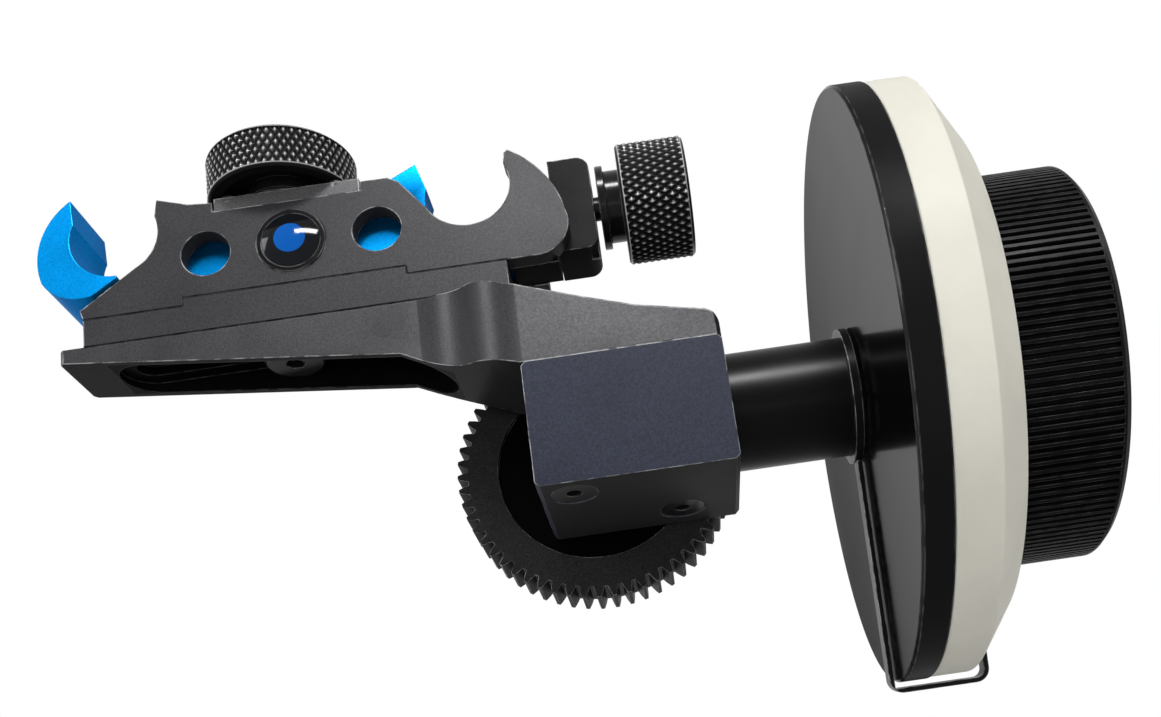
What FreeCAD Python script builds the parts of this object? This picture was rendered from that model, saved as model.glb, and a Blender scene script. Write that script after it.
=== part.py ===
import FreeCAD, Part
import math
import os
import Sketcher  # noqa: F401  registers the sketch objects

# Follow focus unit: a clamp for two 15 mm rods, a sliding arm with a miter gearbox, a drive gear and a
# hand wheel with a marking ring and a pointer.
# Frame: origin on the right rod's axis at the middle of the clamp, +X along the wheel's axis towards the
# hand wheel, +Y along the rods, +Z towards the open side of the rod notches. Lengths in millimetres.

doc = FreeCAD.newDocument("FollowFocus")
Vec = FreeCAD.Vector

# ---------------------------------------------------------------- driving dimensions

SIZES = [
    # rods and clamp
    ("rod_radius", 7.5), ("rod_clearance", 0.05), ("rod_spacing", 60.0),
    ("clamp_depth", 13.0), ("plate_thickness", 3.2), ("slide_gap", 0.08),
    ("clamp_half_length", 35.5), ("bar_bottom", 20.0), ("bar_shoulder", 15.0), ("bar_step", 13.5),
    ("bar_step_half", 18.8), ("recess_floor", 1.9), ("plate_shoulder", 3.6), ("recess_left", 13.0),
    ("recess_right", 12.4), ("window_radius", 4.15), ("window_offset", 14.5), ("window_drop", 5.8),
    ("badge_radius", 5.85), ("badge_wall", 0.9), ("badge_depth", 2.6), ("badge_proud", 0.3),
    ("badge_floor", 0.8), ("dome_height", 1.1),
    ("cap_thickness", 2.5), ("cap_screw_spread", 9.2), ("cap_screw_radius", 1.0),
    ("cap_head_radius", 1.3), ("cap_head_height", 1.2), ("cap_head_sunk", 0.8), ("cap_screw_length", 4.0),
    ("cap_middle", 1.3),
    ("plate_screw_radius", 0.9), ("plate_head_radius", 1.35), ("plate_head_height", 2.2),
    ("plate_screw_length", 8.0), ("plate_screw_offset", 25.0),
    # jaw, its end block and the clamp screw
    ("jaw_travel_open", 2.2), ("jaw_travel_shut", 0.8),
    ("link_top", 8.7), ("thrust_left", 37.9), ("thrust_right", 41.4),
    ("link_right", 36.0), ("tongue_bottom", 14.8), ("tongue_top", 8.8), ("end_left", 44.0),
    ("end_right", 51.0), ("end_top", 4.5), ("end_bottom", 13.0), ("end_corner", 2.2),
    ("screw_drop", 4.0), ("clamp_screw_radius", 2.0), ("thread_clearance", 0.05),
    ("hook_top_x", 37.2), ("hook_top", 7.9), ("hook_side_x", 42.2),
    ("jaw_screw_radius", 1.25), ("jaw_screw_head", 2.2), ("jaw_screw_length", 21.0),
    ("clamp_knob_radius", 10.0), ("clamp_knob_length", 11.5), ("clamp_knob_left", 55.8),
    ("neck_radius", 6.0), ("washer_radius", 6.95), ("washer_left", 51.95), ("washer_thickness", 1.3),
    # lock knob and stud
    ("lock_offset", 2.5), ("stud_radius", 2.0), ("stud_clearance", 0.25), ("stud_head_radius", 5.0),
    ("stud_head_height", 2.9), ("lock_knob_radius", 12.8), ("lock_knob_bottom", 5.05),
    ("lock_knob_height", 7.9), ("lock_boss_radius", 6.4), ("lock_washer_radius", 6.6),
    ("lock_washer_thickness", 0.6), ("insert_radius", 3.6), ("insert_height", 5.2), ("lock_dish", 2.2),
    # arm
    ("arm_left", 39.6), ("arm_left_thickness", 2.4), ("arm_mid_thickness", 9.3), ("arm_gap", 0.05),
    ("arm_ledge", 2.0), ("arm_back_step", 1.5), ("slot_left", 32.0), ("slot_right", 24.5), ("slot_width", 5.2),
    ("slot_recess_width", 10.6), ("arm_jog", 9.25),
    # gearbox
    ("box_left", 36.6), ("box_width", 31.4), ("box_height", 20.8), ("shaft_below_top", 7.85), ("box_depth", 25.0),
    ("box_corner", 0.7), ("box_screw_radius", 2.0), ("box_screw_head", 3.85),
    ("box_screw_grip", 4.0),
    ("screw_in_left", 5.4), ("screw_in_right", 9.5), ("screw_front", 7.6),
    ("screw_back", 5.6), ("shaft_drop", 46.5), ("shaft_back", 2.8), ("gear_axis", 44.6),
    ("shaft_radius", 2.5), ("shaft_clearance", 0.2), ("bearing_radius", 5.0), ("bearing_width", 4.0),
    ("bearing_gap", 0.1), ("bearing_inset", 0.3), ("bearing_play", 0.03),
    ("out_bearing_width", 2.3), ("gear_room", 6.9), ("room_start", 3.2),
    ("room_start_y", 1.4), ("input_hub_length", 1.6), ("miter_module", 0.75), ("miter_teeth", 16),
    ("miter_face", 2.4), ("miter_backlash", 0.12),
    ("tube_radius", 9.5), ("tube_right", 87.6), ("tube_play", 1.0), ("spigot_radius", 7.0), ("spigot_length", 2.6),
    # drive gear
    ("gear_module", 0.8), ("gear_teeth", 57), ("gear_face", 7.5), ("gear_gap", 1.3), ("gear_dish", 16.6),
    ("gear_dish_depth", 1.0), ("gear_screw_radius", 1.5), ("gear_screw_head", 2.7),
    ("gear_washer_radius", 5.0), ("gear_washer_thickness", 1.0),
    # wheel
    ("disc_left", 88.5), ("disc_thickness", 4.6), ("disc_radius", 47.0), ("disc_chamfer", 0.4),
    ("ring_step", 0.2), ("ring_straight", 6.6), ("ring_cone", 5.3), ("ring_cone_drop", 7.3),
    ("ring_bore", 25.0), ("hand_radius", 31.0), ("hand_length", 17.6), ("hand_rib_depth", 0.7),
    ("hand_ribs", 144), ("hand_lip", 1.2), ("near_lip", 0.5), ("hand_chamfer", 0.8), ("hand_dish_radius", 24.0),
    ("hand_dish_depth", 3.0), ("hub_radius", 11.0), ("hub_length", 9.0),
    ("wheel_screw_circle", 17.0), ("wheel_screw_radius", 1.5), ("wheel_screw_head", 2.9),
    ("wheel_screw_floor", 1.2),
    ("socket_radius", 9.0), ("socket_depth", 8.0), ("socket_square", 6.4),
    # pointer
    ("pointer_angle", 14.0), ("pointer_width", 3.4), ("pointer_thickness", 0.8), ("pointer_rim_gap", 0.9),
    ("pointer_reach", 103.4), ("pointer_ring_wall", 1.3), ("pointer_ring_width", 1.3),
    ("pointer_clearance", 0.06), ("pointer_tip_drop", 5.0), ("pointer_bend", 2.2),
]

sheet = doc.addObject("Spreadsheet::Sheet", "Sizes")
for row, (name, value) in enumerate(SIZES, start=1):
    sheet.set("A%d" % row, name)
    sheet.set("B%d" % row, str(value))
    sheet.setAlias("B%d" % row, name)
doc.recompute()


class Values:
    """The sheet's numbers as plain attributes."""


size = Values()
for name, _ in SIZES:
    setattr(size, name, float(sheet.get(name)))

middle_x = -size.rod_spacing / 2
seat_radius = size.rod_radius + size.rod_clearance
front_y = -size.clamp_depth / 2
back_y = size.clamp_depth / 2
inner_y = back_y - size.plate_thickness
lock_x = middle_x - size.lock_offset
miter_pitch_radius = size.miter_module * size.miter_teeth / 2
axis_y = -size.shaft_back
axis_z = -size.shaft_drop
box_front_y = front_y - size.arm_jog
box_back_y = box_front_y + size.box_depth
box_left_x = middle_x + size.box_left
box_right_x = box_left_x + size.box_width
ring_radius = size.disc_radius - size.ring_step
ring_end_radius = ring_radius - size.ring_cone_drop
disc_left_x = middle_x + size.disc_left


# ---------------------------------------------------------------- building blocks

def polar(centre, radius, degrees):
    """The point at an angle on a circle, in the sketch's own two coordinates."""
    angle = math.radians(degrees)
    return (centre[0] + radius * math.cos(angle), centre[1] + radius * math.sin(angle))


def arc(centre, radius, start, end):
    """An arc step of an outline: its middle and end points, from start to end in degrees."""
    return ("arc", polar(centre, radius, (start + end) / 2), polar(centre, radius, end))


def draw(sketch, start, steps):
    """Draws a closed outline: a step is an end point, or ("arc", middle point, end point)."""
    here = Vec(start[0], start[1], 0)
    for step in steps + [start]:
        if step[0] == "arc":
            through, there = Vec(*step[1], 0), Vec(*step[2], 0)
            sketch.addGeometry(Part.Arc(here, through, there), False)
        else:
            there = Vec(step[0], step[1], 0)
            if there.distanceToPoint(here) > 1e-6:
                sketch.addGeometry(Part.LineSegment(here, there), False)
        here = there
    return sketch


def origin_plane(body, role):
    """One of the body's own origin planes."""
    return next(item for item in body.Origin.OriginFeatures if item.Role == role)


def new_sketch(body, role, name):
    """A sketch flat on one of the body's origin planes."""
    sketch = body.newObject("Sketcher::SketchObject", name)
    sketch.AttachmentSupport = [(origin_plane(body, role), "")]
    sketch.MapMode = "FlatFace"
    return sketch


def new_body(label):
    """A PartDesign body whose label is its node's name."""
    body = doc.addObject("PartDesign::Body", label)
    body.Label = label
    return body


def pad_y(body, name, start, steps, back, depth):
    """Pads an X-Z outline from the plane y = back towards the front by the bound depth."""
    sketch = new_sketch(body, "XZ_Plane", name + "_sketch")
    sketch.AttachmentOffset = FreeCAD.Placement(Vec(0, 0, -back), FreeCAD.Rotation())
    draw(sketch, start, steps)
    pad = body.newObject("PartDesign::Pad", name)
    pad.Profile = sketch
    pad.setExpression("Length", depth)
    body.Tip = pad
    return pad


def cut_holes_y(body, name, holes, back, depth):
    """Pockets round holes along Y, each (x, z, radius), from y = back towards the front."""
    sketch = new_sketch(body, "XZ_Plane", name + "_sketch")
    sketch.AttachmentOffset = FreeCAD.Placement(Vec(0, 0, -back), FreeCAD.Rotation())
    for x, z, radius in holes:
        sketch.addGeometry(Part.Circle(Vec(x, z, 0), Vec(0, 0, 1), radius), False)
    pocket = body.newObject("PartDesign::Pocket", name)
    pocket.Profile = sketch
    pocket.Reversed = True
    pocket.setExpression("Length", depth)
    body.Tip = pocket
    return pocket


def turn(body, name, profile, start=None):
    """Revolves an (along, radius) profile round the body's X axis."""
    sketch = new_sketch(body, "XZ_Plane", name + "_sketch")
    draw(sketch, start or profile[0], profile[1:])
    revolution = body.newObject("PartDesign::Revolution", name)
    revolution.Profile = sketch
    revolution.ReferenceAxis = (sketch, ["H_Axis"])
    revolution.Angle = 360
    body.Tip = revolution
    return revolution


def cylinder(label, radius, height, base, axis=Vec(0, 0, 1)):
    """A Part cylinder whose radius and height are bound to the sheet."""
    solid = doc.addObject("Part::Cylinder", label)
    solid.setExpression("Radius", radius)
    solid.setExpression("Height", height)
    solid.Placement = FreeCAD.Placement(base, FreeCAD.Rotation(Vec(0, 0, 1), axis))
    return solid


def box(label, length, width, height, base):
    """A Part box whose sides are bound to the sheet."""
    solid = doc.addObject("Part::Box", label)
    solid.setExpression("Length", length)
    solid.setExpression("Width", width)
    solid.setExpression("Height", height)
    solid.Placement = FreeCAD.Placement(base, FreeCAD.Rotation())
    return solid


def fuse(label, shapes):
    """One solid from several."""
    result = doc.addObject("Part::MultiFuse", label)
    result.Shapes = shapes
    return result


def cut(label, base, tools):
    """The base less one tool or several."""
    result = doc.addObject("Part::Cut", label)
    result.Base = base
    result.Tool = tools[0] if len(tools) == 1 else fuse(label + "_tools", tools)
    return result


def feature(label, shape):
    """A piece whose shape is set by code, for teeth and groups of separate solids."""
    result = doc.addObject("Part::Feature", label)
    result.Shape = shape
    return result


def group(label, solids):
    """Identical fasteners as one node of separate solids."""
    return feature(label, Part.makeCompound(solids))


def rod(radius, length, base, axis):
    """A plain round solid."""
    return Part.makeCylinder(radius, length, base, axis)


NODES = []


def keep(obj):
    """Marks an object as one of the part's nodes."""
    obj.Label = obj.Name
    NODES.append(obj)
    return obj


AXIS_X, AXIS_Y, AXIS_Z = Vec(1, 0, 0), Vec(0, 1, 0), Vec(0, 0, 1)

# ---------------------------------------------------------------- clamp plates

left_rod = (-size.rod_spacing, 0.0)
right_rod = (0.0, 0.0)


def at(x):
    """An X position given from the middle between the rods."""
    return middle_x + x


def plate_outline(outer_limit):
    """The clamp plate: tail, left seat, cap recess, right notch and hook, stepped lower edge."""
    tail = (at(-size.clamp_half_length), -size.bar_shoulder)
    steps = [
        (at(-size.clamp_half_length - 0.5), -size.bar_shoulder + 1.7),
        polar(left_rod, seat_radius, -62),
        arc(left_rod, seat_radius, -62, 20),
        (left_rod[0] + seat_radius, 5.7),
        (at(-17.2), size.plate_shoulder + 0.4),
        (at(-size.recess_left), size.plate_shoulder),
        (at(-size.recess_left), size.recess_floor),
        (at(size.recess_right), size.recess_floor),
        (at(size.recess_right), size.plate_shoulder),
        (at(17.0), size.plate_shoulder),
        (at(18.8), size.plate_shoulder - 1.0),
        polar(right_rod, seat_radius, -154),
        arc(right_rod, seat_radius, -154, 25),
        (7.1, 5.2),
        (7.8, 5.7),
    ]
    if outer_limit is None:
        steps += [("arc", (13.4, 0.2), (16.3, -7.5)), ("arc", (15.4, -12.6), (11.0, -size.bar_shoulder))]
    else:
        steps += [("arc", (9.9, 4.0), (outer_limit, 2.2)), (outer_limit, -size.bar_shoulder)]
    steps += [
        (at(size.bar_step_half), -size.bar_shoulder),
        (at(size.bar_step_half), -size.bar_step),
        (at(-size.bar_step_half), -size.bar_step),
        (at(-size.bar_step_half), -size.bar_shoulder),
    ]
    return tail, steps


plate_screw_places = [(at(side * size.plate_screw_offset), sign) for side in (-1, 1) for sign in (-1, 1)]
cap_screw_places = [(at(side * size.cap_screw_spread - size.cap_middle), sign)
                    for side in (-1, 1) for sign in (-1, 1)]
plate_mid_y = back_y - size.plate_thickness / 2


def clamp_plate(label, sign, holes, outer_limit):
    """A clamp plate at the front (sign -1) or back (sign 1), with its windows and screw holes."""
    body = new_body(label + "_blank")
    back = back_y if sign > 0 else -inner_y
    start, steps = plate_outline(outer_limit)
    pad_y(body, label + "_pad", start, steps, back, "Sizes.plate_thickness")
    cut_holes_y(body, label + "_windows", holes, back, "Sizes.plate_thickness")
    drills = []
    for x, side in plate_screw_places:
        if side == sign:
            drills.append(cylinder("%s_drill_%d" % (label, len(drills)), "Sizes.plate_screw_radius",
                                   "Sizes.plate_screw_length", Vec(x, sign * plate_mid_y, -size.bar_shoulder
                                                                   - 0.3 - size.plate_head_height)))
    for x, side in cap_screw_places:
        if side == sign:
            drills.append(cylinder("%s_drill_%d" % (label, len(drills)), "Sizes.cap_screw_radius",
                                   "Sizes.cap_screw_length", Vec(x, sign * plate_mid_y, size.recess_floor
                                                                 + size.cap_thickness - size.cap_screw_length)))
    return keep(cut(label, body, drills))


windows = [(at(-size.window_offset), -size.window_drop, size.window_radius),
           (at(size.window_offset), -size.window_drop, size.window_radius)]
badge_hole = [(at(0), -size.window_drop, size.badge_radius)]
clamp_plate("front_clamp_plate", -1, windows + badge_hole, None)
clamp_plate("rear_clamp_plate", 1, windows, at(size.thrust_right))

# ---------------------------------------------------------------- base bar and its screws

bar_body = new_body("base_bar_blank")
pad_y(bar_body, "base_bar_pad", (at(-size.clamp_half_length), -size.bar_bottom), [
    (at(size.clamp_half_length), -size.bar_bottom),
    (at(size.clamp_half_length), -size.bar_shoulder),
    (at(size.bar_step_half), -size.bar_shoulder),
    (at(size.bar_step_half), -size.bar_step),
    (at(-size.bar_step_half), -size.bar_step),
    (at(-size.bar_step_half), -size.bar_shoulder),
    (at(-size.clamp_half_length), -size.bar_shoulder),
], back_y, "Sizes.clamp_depth")
bar_tools = [cylinder("bar_stud_hole", "Sizes.stud_radius + Sizes.stud_clearance", "Sizes.bar_bottom",
                      Vec(lock_x, 0, -size.bar_bottom))]
screw_head_top = -size.bar_bottom + 0.2 + size.plate_head_height
for number, (x, sign) in enumerate(plate_screw_places):
    foot = Vec(x, sign * plate_mid_y, -size.bar_bottom)
    bar_tools.append(cylinder("bar_counterbore_%d" % number, "Sizes.plate_head_radius",
                              "Sizes.plate_head_height + 0.2", foot))
    bar_tools.append(cylinder("bar_shank_hole_%d" % number, "Sizes.plate_screw_radius",
                              "Sizes.bar_bottom - Sizes.bar_step", foot))
keep(cut("base_bar", bar_body, bar_tools))


def cap_screw(radius, head_radius, head_height, length, head_base, axis):
    """A screw with a cylinder head; its shank runs from the head's base along the axis."""
    head = rod(head_radius, head_height, head_base - axis * head_height, axis)
    return head.fuse(rod(radius, length, head_base, axis))


plate_screws = [
    cap_screw(size.plate_screw_radius, size.plate_head_radius, size.plate_head_height,
              size.plate_screw_length - 0.5, Vec(x, sign * plate_mid_y, screw_head_top), AXIS_Z)
    for x, sign in plate_screw_places]
keep(group("clamp_plate_screws", plate_screws))

# ---------------------------------------------------------------- thrust block between the plates

thrust_body = new_body("thrust_block_blank")
pad_y(thrust_body, "thrust_block_pad", (at(size.thrust_left), -size.link_top + 0.4), [
    (at(size.thrust_right), -size.link_top + 0.4),
    (at(size.thrust_right), 1.6),
    (at(size.thrust_left), 1.6),
], inner_y, "Sizes.clamp_depth - 2 * Sizes.plate_thickness")
thrust_bore = cylinder("thrust_bore", "Sizes.clamp_screw_radius + Sizes.thread_clearance",
                       "Sizes.thrust_right - Sizes.thrust_left - 0.8",
                       Vec(at(size.thrust_left) + 0.8, 0, -size.screw_drop), AXIS_X)
keep(cut("thrust_block", thrust_body, [thrust_bore]))

# ---------------------------------------------------------------- cap plate, its screws and the badge

cap_top = size.recess_floor + size.cap_thickness
cap_blank = box("cap_blank", "Sizes.recess_left + Sizes.recess_right - 0.5", "Sizes.clamp_depth - 0.4",
                "Sizes.cap_thickness", Vec(at(-size.recess_left) + 0.25, front_y + 0.2, size.recess_floor))
cap_tools = [cylinder("cap_stud_hole", "Sizes.stud_radius + Sizes.stud_clearance", "Sizes.cap_thickness",
                      Vec(lock_x, 0, size.recess_floor))]
for number, (x, sign) in enumerate(cap_screw_places):
    cap_tools.append(cylinder("cap_drill_%d" % number, "Sizes.cap_screw_radius", "Sizes.cap_thickness",
                              Vec(x, sign * plate_mid_y, size.recess_floor)))
    cap_tools.append(cylinder("cap_counterbore_%d" % number, "Sizes.cap_head_radius", "Sizes.cap_head_sunk",
                              Vec(x, sign * plate_mid_y, cap_top - size.cap_head_sunk)))
keep(cut("cap_plate", cap_blank, cap_tools))
cap_screws = [
    cap_screw(size.cap_screw_radius, size.cap_head_radius, size.cap_head_height,
              size.cap_screw_length - size.cap_head_sunk,
              Vec(x, sign * plate_mid_y, cap_top - size.cap_head_sunk), -AXIS_Z)
    for x, sign in cap_screw_places]
keep(group("cap_plate_screws", cap_screws))


def place(body, base, axis):
    """Stands a turned body, made along its own X axis, along another axis."""
    body.Placement = FreeCAD.Placement(base, FreeCAD.Rotation(AXIS_X, axis))
    return body


cup_floor = size.badge_depth - size.badge_floor
cup_bore = size.badge_radius - size.badge_wall
cup_body = new_body("badge_cup")
turn(cup_body, "badge_cup_turned", [
    (-size.badge_proud, cup_bore), (-size.badge_proud, size.badge_radius),
    (size.badge_depth, size.badge_radius),
    (size.badge_depth, 0.0), (cup_floor, 0.0), (cup_floor, cup_bore)])
keep(place(cup_body, Vec(at(0), front_y, -size.window_drop), AXIS_Y))

dome_body = new_body("badge_dome")
dome_sphere = (cup_bore ** 2 + size.dome_height ** 2) / (2 * size.dome_height)
dome_centre = -size.badge_proud - size.dome_height + dome_sphere
dome_edge = math.degrees(math.asin(cup_bore / dome_sphere))
turn(dome_body, "badge_dome_turned", [
    (cup_floor, 0.0), (cup_floor, cup_bore), (-size.badge_proud, cup_bore),
    arc((dome_centre, 0.0), dome_sphere, 180 - dome_edge, 180)])
keep(place(dome_body, Vec(at(0), front_y, -size.window_drop), AXIS_Y))

washer_blank = cylinder("lock_washer_blank", "Sizes.lock_washer_radius", "Sizes.lock_washer_thickness",
                        Vec(lock_x, 0, cap_top))
washer_hole = cylinder("lock_washer_hole", "Sizes.stud_radius + Sizes.stud_clearance",
                       "Sizes.lock_washer_thickness", Vec(lock_x, 0, cap_top))
keep(cut("lock_washer", washer_blank, [washer_hole]))

# ---------------------------------------------------------------- sliding jaw

slab_half = inner_y - size.slide_gap
slab_bottom = -size.bar_step + size.slide_gap
slab_top = size.recess_floor - 0.2
jaw_body = new_body("rod_jaw_blank")
toe = (left_rod[0] + 0.2, -8.0)
hook_top = (at(-size.hook_top_x), size.hook_top)
pad_y(jaw_body, "jaw_hook", hook_top, [
    polar(left_rod, seat_radius, 155),
    arc(left_rod, seat_radius, 155, 272),
    toe,
    (at(-34.0), -10.7),
    ("arc", (at(-38.8), -10.3), (at(-42.3), -7.2)),
    ("arc", (at(-size.hook_side_x), 1.6), hook_top),
], back_y, "Sizes.clamp_depth")
slab_left = left_rod[0] + size.rod_radius + size.jaw_travel_open + 0.4
pad_y(jaw_body, "jaw_slab", (at(-33.4), -size.link_top - 0.1), [
    (slab_left, -size.link_top - 0.1),
    (slab_left, slab_top),
    (at(size.recess_right + size.jaw_travel_open + 0.3), slab_top),
    (at(size.recess_right + size.jaw_travel_open + 0.3), size.plate_shoulder + 1.6),
    (at(16.8), size.plate_shoulder + 1.8),
    (at(21.4), 7.7),
    polar(right_rod, seat_radius, 160),
    arc(right_rod, seat_radius, 160, 206),
    (at(22.6), -size.link_top),
    (at(size.link_right), -size.link_top),
    (at(size.link_right), slab_bottom),
    (at(-31.0), slab_bottom),
], slab_half, "Sizes.clamp_depth - 2 * Sizes.plate_thickness - 2 * Sizes.slide_gap")
link_axis_z = (-size.link_top + slab_bottom) / 2
stud_slot_radius = "Sizes.stud_radius + Sizes.stud_clearance"
slot_height = "Sizes.bar_step + Sizes.recess_floor"
slot_x1 = lock_x - size.jaw_travel_shut - size.stud_clearance
slot_x2 = lock_x + size.jaw_travel_open + size.stud_clearance
hole_half = size.stud_radius + size.stud_clearance
keep(cut("rod_jaw", jaw_body, [
    cylinder("jaw_slot_left", stud_slot_radius, slot_height, Vec(slot_x1, 0, -size.bar_step)),
    cylinder("jaw_slot_right", stud_slot_radius, slot_height, Vec(slot_x2, 0, -size.bar_step)),
    box("jaw_slot_middle", "Sizes.jaw_travel_open + Sizes.jaw_travel_shut + 2 * Sizes.stud_clearance",
        "2 * (Sizes.stud_radius + Sizes.stud_clearance)", slot_height,
        Vec(slot_x1, -hole_half, -size.bar_step)),
    cylinder("jaw_screw_hole", "Sizes.jaw_screw_radius", "Sizes.jaw_screw_length",
             Vec(at(size.end_right) - size.jaw_screw_length, 0, link_axis_z), AXIS_X),
]))

corner = size.end_corner
end_body = new_body("end_block_blank")
pad_y(end_body, "end_block_pad", (at(size.end_left), -size.end_bottom), [
    (at(size.end_right) - corner, -size.end_bottom),
    arc((at(size.end_right) - corner, -size.end_bottom + corner), corner, -90, 0),
    (at(size.end_right), size.end_top - corner),
    arc((at(size.end_right) - corner, size.end_top - corner), corner, 0, 90),
    (at(size.end_left), size.end_top),
], back_y, "Sizes.clamp_depth - Sizes.plate_thickness - Sizes.slide_gap")
pad_y(end_body, "end_block_tongue", (at(size.link_right), -size.tongue_bottom), [
    (at(size.end_left), -size.tongue_bottom),
    (at(size.end_left), -size.end_bottom),
    (at(size.end_left) + corner, -size.end_bottom),
    (at(size.end_left) + corner, -size.tongue_top),
    (at(size.link_right), -size.tongue_top),
], slab_half, "Sizes.clamp_depth - 2 * Sizes.plate_thickness - 2 * Sizes.slide_gap")
keep(cut("end_block", end_body, [
    cylinder("end_thread", "Sizes.clamp_screw_radius + Sizes.thread_clearance",
             "Sizes.end_right - Sizes.end_left", Vec(at(size.end_left), 0, -size.screw_drop), AXIS_X),
    cylinder("end_screw_hole", "Sizes.jaw_screw_radius", "Sizes.end_right - Sizes.link_right",
             Vec(at(size.link_right), 0, link_axis_z), AXIS_X),
    cylinder("end_screw_seat", "Sizes.jaw_screw_head", "1.5",
             Vec(at(size.end_right) - 1.5, 0, link_axis_z), AXIS_X),
]))
keep(feature("jaw_screw", cap_screw(size.jaw_screw_radius, size.jaw_screw_head, 1.3,
                                    size.jaw_screw_length - 1.6,
                                    Vec(at(size.end_right) - 1.5, 0, link_axis_z), -AXIS_X)))

# ---------------------------------------------------------------- clamp knob, washer and screw

knob_axis = Vec(0, 0, -size.screw_drop)
knob_left = at(size.clamp_knob_left)
knob_right = knob_left + size.clamp_knob_length
washer_right = at(size.washer_left) + size.washer_thickness
chamfer = 0.8
knob_body = new_body("clamp_knob")
turn(knob_body, "clamp_knob_turned", [
    (washer_right, size.clamp_screw_radius), (washer_right, size.neck_radius),
    (knob_left, size.neck_radius), (knob_left, size.clamp_knob_radius - chamfer),
    (knob_left + chamfer, size.clamp_knob_radius), (knob_right - chamfer, size.clamp_knob_radius),
    (knob_right, size.clamp_knob_radius - chamfer), (knob_right, 5.0), (knob_right - 0.8, 4.2),
    (knob_right - 0.8, 0.0), (knob_right - 3.5, 0.0), (knob_right - 3.5, size.clamp_screw_radius)])
keep(place(knob_body, knob_axis, AXIS_X))

clamp_washer_body = new_body("clamp_washer")
turn(clamp_washer_body, "clamp_washer_turned", [
    (at(size.washer_left), size.clamp_screw_radius), (at(size.washer_left), size.washer_radius),
    (washer_right, size.washer_radius), (washer_right, size.clamp_screw_radius)])
keep(place(clamp_washer_body, knob_axis, AXIS_X))

screw_tip = at(size.thrust_left) + 1.0
screw_body = new_body("clamp_screw")
turn(screw_body, "clamp_screw_turned", [
    (screw_tip, 0.0), (screw_tip, size.clamp_screw_radius - 0.6),
    (screw_tip + 0.6, size.clamp_screw_radius), (knob_right - 3.5, size.clamp_screw_radius),
    (knob_right - 3.5, 0.0)])
keep(place(screw_body, knob_axis, AXIS_X))

# ---------------------------------------------------------------- lock knob, insert and stud

boss_bottom = cap_top + size.lock_washer_thickness
knob_bottom = size.lock_knob_bottom
knob_top = knob_bottom + size.lock_knob_height
insert_bottom = boss_bottom + 0.6
insert_top = insert_bottom + size.insert_height
rim_bore = size.lock_knob_radius - 2.2
lock_body = new_body("lock_knob")
turn(lock_body, "lock_knob_turned", [
    (boss_bottom, size.stud_radius + size.stud_clearance), (boss_bottom, size.lock_boss_radius),
    (knob_bottom + size.lock_dish, size.lock_boss_radius), (knob_bottom + size.lock_dish, rim_bore),
    (knob_bottom, rim_bore), (knob_bottom, size.lock_knob_radius - chamfer),
    (knob_bottom + chamfer, size.lock_knob_radius), (knob_top - chamfer, size.lock_knob_radius),
    (knob_top, size.lock_knob_radius - chamfer), (knob_top, 8.0), (knob_top - 0.8, 7.2),
    (knob_top - 0.8, 0.0), (insert_top, 0.0), (insert_top, size.insert_radius),
    (insert_bottom, size.insert_radius), (insert_bottom, size.stud_radius + size.stud_clearance)])
keep(place(lock_body, Vec(lock_x, 0, 0), AXIS_Z))

insert_body = new_body("lock_insert")
turn(insert_body, "lock_insert_turned", [
    (insert_bottom, size.stud_radius + size.thread_clearance), (insert_bottom, size.insert_radius),
    (insert_top, size.insert_radius), (insert_top, size.stud_radius + size.thread_clearance)])
keep(place(insert_body, Vec(lock_x, 0, 0), AXIS_Z))

arm_top = -size.bar_bottom - size.arm_gap
ledge_bottom = arm_top - size.arm_ledge
head_top = ledge_bottom - size.arm_gap
head_bottom = head_top - size.stud_head_height
stud_body = new_body("lock_stud_blank")
turn(stud_body, "lock_stud_turned", [
    (head_bottom, 0.0), (head_bottom, size.stud_head_radius - 0.5),
    (head_bottom + 0.5, size.stud_head_radius), (head_top, size.stud_head_radius),
    (head_top, size.stud_radius), (insert_top - 1.6, size.stud_radius), (insert_top - 1.2, size.stud_radius - 0.4),
    (insert_top - 1.2, 0.0)])
place(stud_body, Vec(lock_x, 0, 0), AXIS_Z)
stud_drive = doc.addObject("Part::Prism", "stud_drive")
stud_drive.Polygon = 6
stud_drive.Circumradius = 1.7
stud_drive.Height = 1.6
stud_drive.Placement = FreeCAD.Placement(Vec(lock_x, 0, head_bottom), FreeCAD.Rotation())
keep(cut("lock_stud", stud_body, [stud_drive]))

# ---------------------------------------------------------------- support arm

arm_bottom_left = arm_top - size.arm_left_thickness
arm_bottom_mid = arm_top - size.arm_mid_thickness
box_top = axis_z + size.shaft_below_top
arm_body = new_body("arm_side_blank")
arm_depth_back = back_y
arm_right_x = box_right_x
pad_y(arm_body, "arm_side", (at(-size.arm_left), arm_top), [
    (at(23.0), arm_top),
    ("arc", (at(29.0), arm_top - 1.6), (at(34.9), arm_top - 4.3)),
    (at(47.1), arm_top - 8.8),
    (at(55.3), arm_top - 11.6),
    (arm_right_x - 2.5, arm_top - 13.9),
    ("arc", (arm_right_x - 0.8, arm_top - 14.7), (arm_right_x, arm_top - 16.4)),
    (arm_right_x, box_top),
    (box_left_x, box_top),
    ("arc", (at(28.0), box_top + 3.6), (at(16.5), arm_bottom_mid)),
    (at(-size.arm_left), arm_bottom_left),
], arm_depth_back, "Sizes.clamp_depth + Sizes.arm_jog")

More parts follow.
